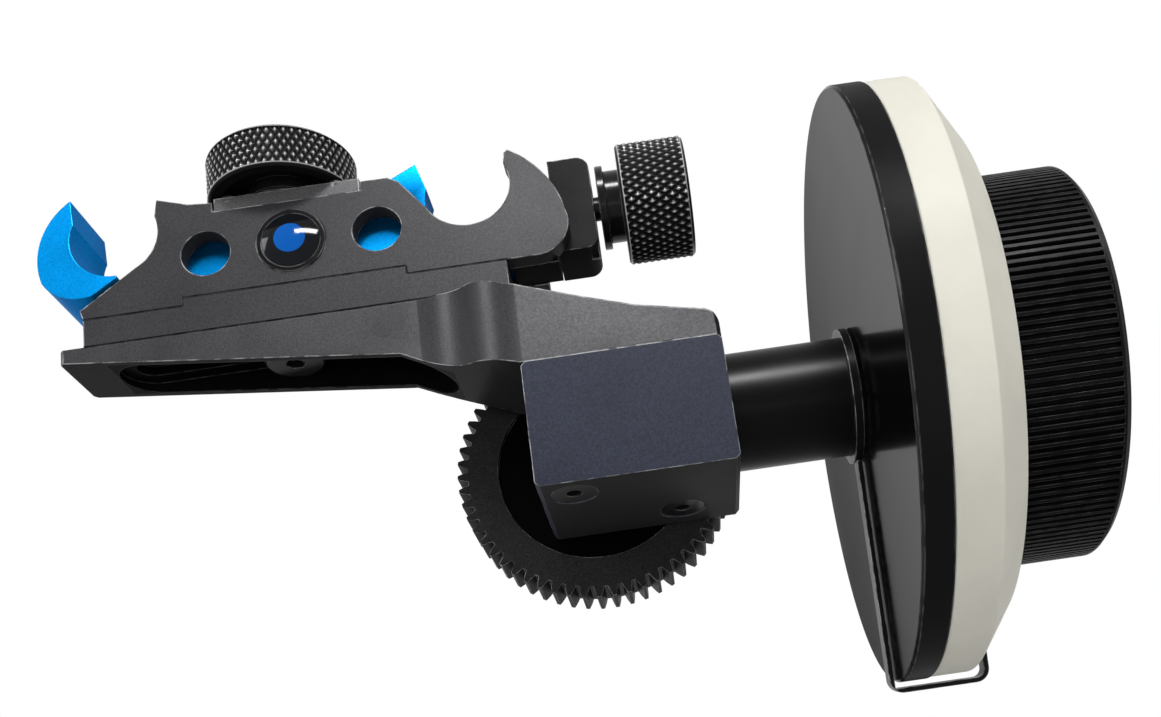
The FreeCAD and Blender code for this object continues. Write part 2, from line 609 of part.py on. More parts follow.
plan_sketch = doc.addObject("Sketcher::SketchObject", "arm_plan_sketch")
plan_sketch.Placement = FreeCAD.Placement(Vec(0, 0, box_top - 1), FreeCAD.Rotation())
jog_x1, jog_x2 = at(20.0), at(37.0)
jog_mid = ((jog_x1 + jog_x2) / 2, front_y - size.arm_jog / 2)
draw(plan_sketch, (at(-size.arm_left) + 0.6, front_y), [
    (jog_x1, front_y),
    ("arc", (jog_x1 + 4.9, front_y - 1.5), jog_mid),
    ("arc", (jog_x2 - 4.9, front_y - size.arm_jog + 1.5), (jog_x2, front_y - size.arm_jog)),
    (arm_right_x - size.box_corner, front_y - size.arm_jog),
    (arm_right_x, front_y - size.arm_jog + size.box_corner),
    (arm_right_x, back_y - size.arm_back_step),
    (at(30.0), back_y - size.arm_back_step),
    (at(16.0), back_y),
    (at(-size.arm_left) + 0.6, back_y),
    (at(-size.arm_left), back_y - 0.6),
    (at(-size.arm_left), front_y + 0.6),
])
arm_plan = doc.addObject("Part::Extrusion", "arm_plan")
arm_plan.Base = plan_sketch
arm_plan.DirMode = "Custom"
arm_plan.Dir = AXIS_Z
arm_plan.LengthFwd = box_top * -1 - size.bar_bottom + 4
arm_plan.Solid = True
arm_blank = doc.addObject("Part::Common", "arm_blank")
arm_blank.Base = arm_body
arm_blank.Tool = arm_plan


def slot_tools(name, half_width, bottom, height):
    """A round-ended slot along X as three solids."""
    x1, x2 = at(-size.slot_left), at(size.slot_right)
    inset = size.slot_recess_width / 2
    ends = [cylinder("%s_end_%d" % (name, index), str(half_width), str(height), Vec(x, 0, bottom))
            for index, x in enumerate((x1 + inset, x2 - inset))]
    middle = box(name + "_middle", str(x2 - x1 - 2 * inset), str(2 * half_width), str(height),
                 Vec(x1 + inset, -half_width, bottom))
    return ends + [middle]


housing_screw_places = [(box_left_x + size.screw_in_left, axis_y - size.screw_front),
                        (box_right_x - size.screw_in_right, axis_y + size.screw_back)]
box_bottom = box_top - size.box_height
arm_drills = [cylinder("arm_drill_%d" % number, "Sizes.box_screw_radius",
                       "Sizes.box_screw_grip + 2", Vec(x, y, box_top))
              for number, (x, y) in enumerate(housing_screw_places)]
keep(cut("support_arm", arm_blank, slot_tools("slot", size.slot_width / 2, box_top - 1, arm_top - box_top + 2)
         + slot_tools("recess", size.slot_recess_width / 2, box_top - 1, ledge_bottom - box_top + 1)
         + arm_drills))

# ---------------------------------------------------------------- gearbox housing, tube, screws

corner = size.box_corner
housing_body = new_body("housing_blank")
pad_y(housing_body, "housing_pad", (box_left_x + corner, box_bottom), [
    (box_right_x - corner, box_bottom),
    (box_right_x, box_bottom + corner),
    (box_right_x, box_top - corner),
    (box_right_x - corner, box_top),
    (box_left_x + corner, box_top),
    (box_left_x, box_top - corner),
    (box_left_x, box_bottom + corner),
], box_back_y, "Sizes.box_depth")
gear_x = at(size.gear_axis)
tube_left = box_right_x
bearing_x = tube_left - size.spigot_length - size.bearing_width
shaft_hole = "Sizes.shaft_radius + Sizes.shaft_clearance"
out_bearing_y = box_back_y - 2 * size.out_bearing_width - size.bearing_gap
room_y_start = axis_y + size.room_start_y
housing_tools = [
    cylinder("room_x", "Sizes.gear_room", "Sizes.gear_room",
             Vec(gear_x + size.room_start, axis_y, axis_z), AXIS_X),
    cylinder("room_y", "Sizes.gear_room", str(out_bearing_y - room_y_start),
             Vec(gear_x, room_y_start, axis_z), AXIS_Y),
    cylinder("bore_x", shaft_hole, "Sizes.box_width", Vec(gear_x + size.room_start, axis_y, axis_z), AXIS_X),
    cylinder("bearing_seat_x", "Sizes.bearing_radius", "Sizes.box_width",
             Vec(bearing_x, axis_y, axis_z), AXIS_X),
    cylinder("spigot_seat", "Sizes.spigot_radius", "Sizes.box_width",
             Vec(tube_left - size.spigot_length, axis_y, axis_z), AXIS_X),
    cylinder("bearing_seat_y", "Sizes.bearing_radius", "Sizes.box_depth",
             Vec(gear_x, out_bearing_y, axis_z), AXIS_Y),
]
for number, (x, y) in enumerate(housing_screw_places):
    housing_tools.append(cylinder("housing_drill_%d" % number, "Sizes.box_screw_radius",
                                  "Sizes.box_height", Vec(x, y, box_bottom)))
    countersink = doc.addObject("Part::Cone", "housing_countersink_%d" % number)
    countersink.setExpression("Radius1", "Sizes.box_screw_head")
    countersink.setExpression("Radius2", "Sizes.box_screw_radius")
    countersink.setExpression("Height", "Sizes.box_screw_head - Sizes.box_screw_radius")
    countersink.Placement = FreeCAD.Placement(Vec(x, y, box_bottom), FreeCAD.Rotation())
    housing_tools.append(countersink)
keep(cut("gearbox_housing", housing_body, housing_tools))


def countersunk_screw(radius, head_radius, length, base, axis):
    """A countersunk screw with a hexagon socket; its flat face is at the base."""
    head = Part.makeCone(head_radius, radius, head_radius - radius, base, axis)
    shank = rod(radius, length - head_radius + radius, base + axis * (head_radius - radius), axis)
    socket = rod(radius * 0.62, head_radius - radius, base, axis)
    return head.fuse(shank).cut(socket)


sunk = 0.15
housing_screws = [
    countersunk_screw(size.box_screw_radius, size.box_screw_head - sunk, size.box_height + size.box_screw_grip,
                      Vec(x, y, box_bottom + sunk), AXIS_Z)
    for x, y in housing_screw_places]
keep(group("housing_screws", housing_screws))

tube_right = at(size.tube_right)
tube_bore = size.shaft_radius + size.tube_play
tube_bearing_x = tube_right - size.bearing_width - size.bearing_inset
tube_body = new_body("shaft_tube")
turn(tube_body, "shaft_tube_turned", [
    (tube_left - size.spigot_length, tube_bore), (tube_left - size.spigot_length, size.spigot_radius),
    (tube_left, size.spigot_radius), (tube_left, size.tube_radius), (tube_right, size.tube_radius),
    (tube_right, size.bearing_radius), (tube_bearing_x, size.bearing_radius),
    (tube_bearing_x, tube_bore)])
keep(place(tube_body, Vec(0, axis_y, axis_z), AXIS_X))


def ring(outer, inner, width, base, axis):
    """A plain ring, such as a bearing."""
    return rod(outer, width, base, axis).cut(rod(inner, width, base, axis))


bearing_bore = size.shaft_radius + size.bearing_play
keep(group("input_bearings", [
    ring(size.bearing_radius, bearing_bore, size.bearing_width, Vec(x, axis_y, axis_z), AXIS_X)
    for x in (bearing_x, tube_bearing_x)]))
keep(group("output_bearings", [
    ring(size.bearing_radius, bearing_bore, size.out_bearing_width, Vec(gear_x, y, axis_z), AXIS_Y)
    for y in (out_bearing_y, box_back_y - size.out_bearing_width)]))

# ---------------------------------------------------------------- miter gears


def miter_gear(phase, bore_radius, hub_radius, hub_length):
    """A 45 degree bevel gear with its apex at the origin and its axis along +X.

    Each tooth is a loft from its section at the large end to the same section shrunk towards the apex.
    """
    teeth = int(size.miter_teeth)
    pitch = miter_pitch_radius
    module = size.miter_module
    cone_length = pitch * math.sqrt(2)
    shrink = 1 - size.miter_face / cone_length
    root = pitch - 1.15 * module * math.cos(math.radians(45))
    root_x = pitch + 1.15 * module * math.sin(math.radians(45))
    tip = pitch + 0.9 * module * math.cos(math.radians(45))
    tip_x = pitch - 0.9 * module * math.sin(math.radians(45))
    blank = Part.makeCone(root * shrink, root, root_x - root_x * shrink, Vec(root_x * shrink, 0, 0), AXIS_X)
    blank = blank.fuse(rod(root, 0.6, Vec(root_x, 0, 0), AXIS_X))
    if hub_length > 0:
        blank = blank.fuse(rod(hub_radius, hub_length, Vec(root_x + 0.6, 0, 0), AXIS_X))
    solids = [blank]
    pitch_angle = 2 * math.pi / teeth
    slack = size.miter_backlash / pitch / 2
    half_root = pitch_angle * 0.34 - slack
    half_tip = pitch_angle * 0.13 - slack

    def section(scale):
        corners = []
        for angle, radius, x in ((-half_root, root - 0.25, root_x + 0.25), (-half_tip, tip, tip_x),
                                 (half_tip, tip, tip_x), (half_root, root - 0.25, root_x + 0.25)):
            corners.append(Vec(x, radius * math.sin(angle), radius * math.cos(angle)) * scale)
        return Part.makePolygon(corners + corners[:1])

    tooth = Part.makeLoft([section(1.0), section(shrink)], True, True)
    for index in range(teeth):
        copy = tooth.copy()
        copy.rotate(Vec(0, 0, 0), AXIS_X, math.degrees(pitch_angle * (index + phase)))
        solids.append(copy)
    gear = solids[0].multiFuse(solids[1:])
    return gear.cut(rod(bore_radius, 40, Vec(0, 0, 0), AXIS_X)).removeSplitter()


def stand(shape, base, axis):
    """Moves a shape made along +X to its place along another axis."""
    moved = shape.copy()
    moved.Placement = FreeCAD.Placement(base, FreeCAD.Rotation(AXIS_X, axis))
    return moved


apex = Vec(gear_x, axis_y, axis_z)
hub_radius = size.shaft_radius + 1.6
input_gear = miter_gear(0.0, size.shaft_radius, hub_radius, size.input_hub_length)
output_gear = miter_gear(0.5, size.shaft_radius, hub_radius, 0.0)
keep(feature("input_miter_gear", stand(input_gear, apex, AXIS_X)))
keep(feature("output_miter_gear", stand(output_gear, apex, AXIS_Y)))

# ---------------------------------------------------------------- drive gear and its shaft


def spur_outline(teeth, module):
    """The outline of a 20 degree spur gear, with involute flanks of a few points, in the X-Y plane."""
    pitch = module * teeth / 2
    base = pitch * math.cos(math.radians(20))
    tip = pitch + module
    root = pitch - 1.25 * module
    inv_pitch = math.tan(math.radians(20)) - math.radians(20)
    half_pitch_angle = math.pi / teeth / 2 * 0.98
    flank = []
    start = max(base, root + 0.1)
    for step in range(4):
        radius = start + (tip - start) * step / 3
        pressure = math.acos(base / radius)
        flank.append((radius, half_pitch_angle + inv_pitch - (math.tan(pressure) - pressure)))
    flank.insert(0, (root, flank[0][1] + 0.004))
    points = []
    for index in range(teeth):
        centre = 2 * math.pi * index / teeth
        side = [(radius, centre - angle) for radius, angle in flank]
        side += [(radius, centre + angle) for radius, angle in reversed(flank)]
        points += [Vec(radius * math.cos(angle), radius * math.sin(angle), 0) for radius, angle in side]
    return points


def prism(points, height):
    """A straight prism on a closed outline."""
    return Part.Face(Part.makePolygon(points + points[:1])).extrude(Vec(0, 0, height))


gear_front_y = box_back_y + size.gear_gap
gear_back_y = gear_front_y + size.gear_face
gear_blank = prism(spur_outline(int(size.gear_teeth), size.gear_module), size.gear_face)
gear_blank = gear_blank.cut(rod(size.gear_dish, size.gear_dish_depth, Vec(0, 0, 0), AXIS_Z))
gear_blank = gear_blank.fuse(rod(4.4, size.gear_dish_depth, Vec(0, 0, 0), AXIS_Z))
gear_blank = gear_blank.cut(rod(size.shaft_radius, size.gear_face, Vec(0, 0, 0), AXIS_Z))
gear_blank.Placement = FreeCAD.Placement(Vec(gear_x, gear_front_y, axis_z), FreeCAD.Rotation(AXIS_Z, AXIS_Y))
keep(feature("drive_gear", gear_blank))

output_start = axis_y + miter_pitch_radius * 0.72
output_shaft = rod(size.shaft_radius, gear_back_y - output_start, Vec(gear_x, output_start, axis_z), AXIS_Y)
output_shaft = output_shaft.cut(rod(size.gear_screw_radius, 7.0, Vec(gear_x, gear_back_y - 7.0, axis_z), AXIS_Y))
keep(feature("output_shaft", output_shaft))
keep(feature("gear_washer", ring(size.gear_washer_radius, size.gear_screw_radius, size.gear_washer_thickness,
                                 Vec(gear_x, gear_back_y, axis_z), AXIS_Y)))
gear_screw = cap_screw(size.gear_screw_radius, size.gear_screw_head, 1.6, 7.0,
                       Vec(gear_x, gear_back_y + size.gear_washer_thickness, axis_z), -AXIS_Y)
gear_screw = gear_screw.cut(rod(1.2, 1.0, Vec(gear_x, gear_back_y + size.gear_washer_thickness + 0.6, axis_z),
                                AXIS_Y))
keep(feature("gear_screw", gear_screw))

# ---------------------------------------------------------------- wheel

disc_right_x = disc_left_x + size.disc_thickness
ring_mid_x = disc_right_x + size.ring_straight
ring_right_x = ring_mid_x + size.ring_cone
hand_right_x = ring_right_x + size.hand_length
wheel_base = Vec(0, axis_y, axis_z)
socket_left_x = hand_right_x - size.hand_dish_depth - size.socket_depth
shaft_right = disc_right_x + size.hub_length

wheel_screw_end_x = disc_left_x + size.wheel_screw_floor
wheel_screw_places = [polar((axis_y, axis_z), size.wheel_screw_circle, 90 + 120 * index)
                      for index in range(3)]
disc_body = new_body("back_disc_blank")
turn(disc_body, "back_disc_turned", [
    (disc_left_x, size.shaft_radius), (disc_left_x, size.disc_radius - size.disc_chamfer),
    (disc_left_x + size.disc_chamfer, size.disc_radius), (disc_right_x, size.disc_radius),
    (disc_right_x, size.shaft_radius)])
place(disc_body, wheel_base, AXIS_X)
keep(cut("back_disc", disc_body, [
    cylinder("disc_drill_%d" % number, "Sizes.wheel_screw_radius",
             "Sizes.disc_thickness - Sizes.wheel_screw_floor", Vec(wheel_screw_end_x, y, z), AXIS_X)
    for number, (y, z) in enumerate(wheel_screw_places)]))

ring_body = new_body("marking_ring")
turn(ring_body, "marking_ring_turned", [
    (disc_right_x, size.ring_bore), (disc_right_x, ring_radius), (ring_mid_x, ring_radius),
    (ring_right_x, ring_end_radius), (ring_right_x, size.ring_bore)])
keep(place(ring_body, wheel_base, AXIS_X))

hub_body = new_body("wheel_hub")
turn(hub_body, "wheel_hub_turned", [
    (disc_right_x, size.shaft_radius), (disc_right_x, size.hub_radius),
    (shaft_right, size.hub_radius), (shaft_right, size.shaft_radius)])
keep(place(hub_body, wheel_base, AXIS_X))

input_shaft = rod(size.shaft_radius, shaft_right - gear_x - miter_pitch_radius * 0.72,
                  Vec(gear_x + miter_pitch_radius * 0.72, axis_y, axis_z), AXIS_X)
keep(feature("input_shaft", input_shaft))


def ribbed_outline(count, outer, depth):
    """A round outline with shallow trapezium ribs, in the X-Y plane."""
    points = []
    for index in range(count):
        for share, radius in ((0.0, outer - depth), (0.3, outer - depth), (0.45, outer), (0.85, outer)):
            angle = 2 * math.pi * (index + share) / count
            points.append(Vec(radius * math.cos(angle), radius * math.sin(angle), 0))
    return points


lip = size.hand_lip
rib_length = size.hand_length - lip - size.near_lip
hand = prism(ribbed_outline(int(size.hand_ribs), size.hand_radius, size.hand_rib_depth), rib_length)
hand.Placement = FreeCAD.Placement(Vec(ring_right_x + size.near_lip, axis_y, axis_z), FreeCAD.Rotation(AXIS_Z, AXIS_X))
near_lip = rod(size.hand_radius, size.near_lip, Vec(ring_right_x, axis_y, axis_z), AXIS_X)
far_lip = rod(size.hand_radius, lip - size.hand_chamfer, Vec(hand_right_x - lip, axis_y, axis_z), AXIS_X)
far_edge = Part.makeCone(size.hand_radius, size.hand_radius - size.hand_chamfer, size.hand_chamfer,
                         Vec(hand_right_x - size.hand_chamfer, axis_y, axis_z), AXIS_X)
core_left_x = disc_right_x
core = rod(size.ring_bore - 0.02, ring_right_x - core_left_x, Vec(core_left_x, axis_y, axis_z), AXIS_X)
hand = hand.multiFuse([near_lip, far_lip, far_edge, core])
hand = hand.cut(rod(size.hand_dish_radius, size.hand_dish_depth,
                    Vec(hand_right_x - size.hand_dish_depth, axis_y, axis_z), AXIS_X))
hand = hand.cut(rod(size.hub_radius, size.hub_length, Vec(disc_right_x, axis_y, axis_z), AXIS_X))
hand = hand.cut(rod(size.socket_radius, size.socket_depth, Vec(socket_left_x, axis_y, axis_z), AXIS_X))
dish_x = hand_right_x - size.hand_dish_depth
screw_sunk = 0.05
for y, z in wheel_screw_places:
    hand = hand.cut(rod(size.wheel_screw_radius, dish_x - disc_right_x, Vec(disc_right_x, y, z), AXIS_X))
    hand = hand.cut(Part.makeCone(size.wheel_screw_radius, size.wheel_screw_head,
                                  size.wheel_screw_head - size.wheel_screw_radius,
                                  Vec(dish_x - size.wheel_screw_head + size.wheel_screw_radius, y, z), AXIS_X))
keep(feature("hand_wheel", hand.removeSplitter()))
keep(group("wheel_screws", [
    countersunk_screw(size.wheel_screw_radius, size.wheel_screw_head - screw_sunk,
                      dish_x - screw_sunk - wheel_screw_end_x, Vec(dish_x - screw_sunk, y, z), -AXIS_X)
    for y, z in wheel_screw_places]))
half_square = size.socket_square / 2
socket = rod(size.socket_radius, size.socket_depth, Vec(socket_left_x, axis_y, axis_z), AXIS_X)
socket = socket.cut(Part.makeBox(size.socket_depth, size.socket_square, size.socket_square,
                                 Vec(socket_left_x + 1.5, axis_y - half_square, axis_z - half_square)))
keep(feature("accessory_socket", socket))

# ---------------------------------------------------------------- pointer

pointer_x1 = disc_left_x - 0.4 - size.pointer_thickness
pointer_x2 = pointer_x1 + size.pointer_thickness
ring_inner = size.tube_radius + size.pointer_clearance
ring_outer = ring_inner + size.pointer_ring_wall
rim_inner = size.disc_radius + size.pointer_rim_gap
rim_outer = rim_inner + size.pointer_thickness
reach_x = at(size.pointer_reach)
bend = size.pointer_bend
pointer_side = [
    (pointer_x1, ring_inner + 0.6), (pointer_x2, ring_inner + 0.6), (pointer_x2, rim_inner),
    (reach_x - bend, rim_inner),
    arc((reach_x - bend, rim_inner - bend + size.pointer_thickness), bend - size.pointer_thickness, 90, 0),
    (reach_x - size.pointer_thickness, rim_outer - size.pointer_tip_drop),
    (reach_x, rim_outer - size.pointer_tip_drop), (reach_x, rim_outer - bend),
    arc((reach_x - bend, rim_outer - bend), bend, 0, 90),
    (pointer_x1 + bend, rim_outer), arc((pointer_x1 + bend, rim_outer - bend), bend, 90, 180),
]
strip_body = new_body("pointer_strip")
pad_y(strip_body, "pointer_strip_pad", pointer_side[0], pointer_side[1:], size.pointer_width / 2,
      "Sizes.pointer_width")
strip_body.Placement = FreeCAD.Placement(wheel_base, FreeCAD.Rotation(AXIS_X, 180 + size.pointer_angle))
ring_blank = cylinder("pointer_ring", "Sizes.tube_radius + Sizes.pointer_clearance + Sizes.pointer_ring_wall",
                      "Sizes.pointer_ring_width", Vec(pointer_x2 - size.pointer_ring_width, axis_y, axis_z), AXIS_X)
pointer_blank = fuse("pointer_blank", [strip_body, ring_blank])
keep(cut("pointer_arm", pointer_blank, [
    cylinder("pointer_bore", "Sizes.tube_radius + Sizes.pointer_clearance", "Sizes.pointer_ring_width + 2",
             Vec(pointer_x2 - size.pointer_ring_width - 1, axis_y, axis_z), AXIS_X)]))

# ---------------------------------------------------------------- check and write

doc.recompute()
for obj in doc.Objects:
    if any(state in obj.State for state in ("Invalid", "Error")):
        raise RuntimeError("failed object: " + obj.Name)
os.makedirs("parts", exist_ok=True)
for node in NODES:
    shape = node.Shape
    if shape.isNull() or not shape.isValid():
        raise RuntimeError("bad shape: " + node.Name)
    if not shape.Solids:
        raise RuntimeError("no solid: " + node.Name)
    shape.exportStep("parts/%s.step" % node.Label)
    print("%-22s %2d solids  %10.1f mm3" % (node.Label, len(shape.Solids), shape.Volume))
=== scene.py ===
import math

import bpy
import numpy as np
from mathutils import Matrix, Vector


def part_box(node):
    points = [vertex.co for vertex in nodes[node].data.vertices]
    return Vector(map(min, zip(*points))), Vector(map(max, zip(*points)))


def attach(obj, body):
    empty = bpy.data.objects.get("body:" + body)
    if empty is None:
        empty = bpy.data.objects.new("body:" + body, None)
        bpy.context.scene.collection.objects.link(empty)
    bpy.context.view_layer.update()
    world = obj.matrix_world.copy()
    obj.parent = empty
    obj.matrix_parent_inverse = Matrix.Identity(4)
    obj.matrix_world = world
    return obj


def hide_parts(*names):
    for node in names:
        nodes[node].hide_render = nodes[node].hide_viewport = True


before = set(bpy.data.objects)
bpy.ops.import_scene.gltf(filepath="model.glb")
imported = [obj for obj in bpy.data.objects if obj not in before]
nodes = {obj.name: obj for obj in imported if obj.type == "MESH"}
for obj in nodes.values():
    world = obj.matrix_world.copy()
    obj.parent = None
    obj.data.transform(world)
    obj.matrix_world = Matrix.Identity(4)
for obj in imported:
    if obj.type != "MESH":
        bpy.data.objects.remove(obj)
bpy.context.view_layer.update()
scene = bpy.context.scene

# ---------------------------------------------------------------- shader nodes
# Short forms of the shader nodes that the surfaces below are built from. Apart from vectors, which gives
# the node itself, each gives the node's output.


def maths(tree, operation, first, second):
    """A maths node on an output and on either another output or a number."""
    node = tree.nodes.new("ShaderNodeMath")
    node.operation = operation
    tree.links.new(first, node.inputs[0])
    if isinstance(second, bpy.types.NodeSocket):
        tree.links.new(second, node.inputs[1])
    else:
        node.inputs[1].default_value = second
    return node.outputs["Value"]


def vectors(tree, operation, first, second=None):
    """A vector maths node on an output and, where one is given, a fixed vector."""
    node = tree.nodes.new("ShaderNodeVectorMath")
    node.operation = operation
    tree.links.new(first, node.inputs[0])
    if second is not None:
        node.inputs[1].default_value = second
    return node


def scaled(tree, colour, amount):
    """A colour times an amount, both given as outputs."""
    node = vectors(tree, "SCALE", colour)
    tree.links.new(amount, node.inputs["Scale"])
    return node.outputs["Vector"]


def ranged(tree, value, start, end, low, high):
    """Turns values from start to end into low to high, and holds them between the two."""
    node = tree.nodes.new("ShaderNodeMapRange")
    node.inputs["From Min"].default_value = start
    node.inputs["From Max"].default_value = end
    node.inputs["To Min"].default_value = low
    node.inputs["To Max"].default_value = high
    tree.links.new(value, node.inputs["Value"])
    return node.outputs["Result"]


def mixed(tree, share, first, second):
    """The first colour, or output, where the share is nought, and the second colour where it is one."""
    node = tree.nodes.new("ShaderNodeMix")
    node.data_type = "RGBA"
    if isinstance(first, bpy.types.NodeSocket):
        tree.links.new(first, node.inputs["A"])
    else:
        node.inputs["A"].default_value = (*first, 1.0)
    node.inputs["B"].default_value = (*second, 1.0)
    tree.links.new(share, node.inputs["Factor"])
    return node.outputs["Result"]


def noise(tree, place, scale, detail):
    """Noise over the object's own coordinates."""
    node = tree.nodes.new("ShaderNodeTexNoise")
    node.inputs["Scale"].default_value = scale
    node.inputs["Detail"].default_value = detail
    tree.links.new(place.outputs["Object"], node.inputs["Vector"])
    return node.outputs["Fac"]


def coordinates(tree):
    """The object's own coordinates in a finish."""
    return next(node for node in tree.nodes if node.bl_idname == "ShaderNodeTexCoord").outputs["Object"]


def split(tree, vector):
    """The node that parts a vector into X, Y and Z."""
    node = tree.nodes.new("ShaderNodeSeparateXYZ")
    tree.links.new(vector, node.inputs[0])
    return node


def switched(tree, soft, direct, target):
    """Feeds a target with one shader for soft light, and with another for what is seen directly.

    Seen directly are the rays that come from the camera, a reflection or a clear body.
    """
    path = tree.nodes.new("ShaderNodeLightPath")
    seen = maths(tree, "MAXIMUM", path.outputs["Is Camera Ray"], path.outputs["Is Glossy Ray"])
    seen = maths(tree, "MAXIMUM", seen, path.outputs["Is Transmission Ray"])
    mix = tree.nodes.new("ShaderNodeMixShader")
    tree.links.new(seen, mix.inputs["Fac"])
    tree.links.new(soft.outputs[0], mix.inputs[1])
    tree.links.new(direct.outputs[0], mix.inputs[2])
    tree.links.new(mix.outputs[0], target.inputs["Surface"])


# ---------------------------------------------------------------- camera
# The camera stands in front of the object and below its middle, turned a little about its own axis.
# Its directions, place and lens come from the fit to the photograph.

view_right = (0.98977, 0.03808, -0.13747)
view_down = (-0.14264, 0.25535, -0.95627)
view_ahead = (-0.00131, 0.96610, 0.25817)
camera_place = (0.02429, -0.20054, -0.13346)

camera_data = bpy.data.cameras.new("studio_camera")
camera_data.sensor_width = 36.0
camera_data.lens = 40.78
camera_data.shift_x = -0.0790
camera_data.shift_y = 0.2315
camera_data.clip_start = 0.01
camera_data.clip_end = 20.0
camera = bpy.data.objects.new("studio_camera", camera_data)
view_rows = np.array([view_right, [-v for v in view_down], [-v for v in view_ahead]])
camera_turn = np.eye(4)
camera_turn[:3, :3] = view_rows.T
camera_turn[:3, 3] = camera_place
camera.matrix_world = Matrix(camera_turn.tolist())
scene.collection.objects.link(camera)
scene.camera = camera

# ---------------------------------------------------------------- floor and surroundings
# A pale floor far below the object, which hangs in the air as it does on its rods. Floor and surroundings
# light the object softly, and look plain white to the camera and in reflections.

floor_size = 6.0
floor_height = -0.45
floor_colour = (0.42, 0.42, 0.42)
floor_corners = [(side_x * floor_size, side_y * floor_size, floor_height)
                 for side_x, side_y in ((-1, -1), (1, -1), (1, 1), (-1, 1))]
floor_mesh = bpy.data.meshes.new("studio_floor")
floor_mesh.from_pydata(floor_corners, [], [(0, 1, 2, 3)])
floor = bpy.data.objects.new("studio_floor", floor_mesh)

pale_floor = bpy.data.materials.new("pale_floor")
pale_floor.use_nodes = True
floor_tree = pale_floor.node_tree
floor_paint = floor_tree.nodes["Principled BSDF"]
floor_paint.inputs["Base Color"].default_value = (*floor_colour, 1.0)
floor_paint.inputs["Roughness"].default_value = 0.9
floor_glow = floor_tree.nodes.new("ShaderNodeEmission")
switched(floor_tree, floor_paint, floor_glow, floor_tree.nodes["Material Output"])
floor.data.materials.append(pale_floor)
scene.collection.objects.link(floor)

world = bpy.data.worlds.new("studio_world")
scene.world = world
world.use_nodes = True
world_tree = world.node_tree
soft_air = world_tree.nodes["Background"]
soft_air.inputs["Color"].default_value = (0.86, 0.88, 0.92, 1.0)
soft_air.inputs["Strength"].default_value = 0.13
white_air = world_tree.nodes.new("ShaderNodeBackground")
white_air.inputs["Color"].default_value = (1.0, 1.0, 1.0, 1.0)
white_air.inputs["Strength"].default_value = 1.0
switched(world_tree, soft_air, white_air, world_tree.nodes["World Output"])
scene.view_settings.view_transform = "Standard"

# ---------------------------------------------------------------- lamps
# Soft rectangular lamps round the object. The two fills light matt surfaces only, and the top strip shows
# in reflections only.


def softbox(name, place, target, width, height, watts):
    """A rectangular lamp at a place, turned to face a target."""
    lamp = bpy.data.lights.new(name, "AREA")
    lamp.shape = "RECTANGLE"
    lamp.size = width
    lamp.size_y = height
    lamp.energy = watts
    lamp_object = bpy.data.objects.new(name, lamp)
    away = np.array(place) - np.array(target)
    away = away / np.linalg.norm(away)
    side = np.cross((0.0, 0.0, 1.0), away)
    side = side / np.linalg.norm(side)
    up = np.cross(away, side)
    stand = np.eye(4)
    stand[:3, :3] = np.array([side, up, away]).T
    stand[:3, 3] = place
    lamp_object.matrix_world = Matrix(stand.tolist())
    scene.collection.objects.link(lamp_object)
    return lamp_object


lit_point = (0.02, 0.0, -0.03)
softbox("top_softbox", (0.12, -0.82, 0.74), lit_point, 0.55, 0.25, 5.2)
softbox("left_softbox", (-0.85, -0.42, 0.42), lit_point, 0.22, 0.5, 5.0)
softbox("right_softbox", (0.95, -0.60, 0.0), lit_point, 0.25, 0.6, 3.4)
softbox("low_softbox", (0.10, -1.00, -0.62), lit_point, 0.9, 0.5, 8.0)
softbox("front_fill", (-0.40, -1.05, -0.35), lit_point, 0.9, 0.9, 7.4).visible_glossy = False
softbox("back_fill", (-0.30, 1.10, 0.35), lit_point, 0.9, 0.9, 7.0).visible_glossy = False
softbox("top_strip", (0.16, -0.80, 0.72), lit_point, 0.55, 0.16, 36.0).visible_diffuse = False

# ---------------------------------------------------------------- finishes
# One finish makes every surface of the object. The functions after it change its colour or its gloss
# where a mask is one, and the masks follow them.


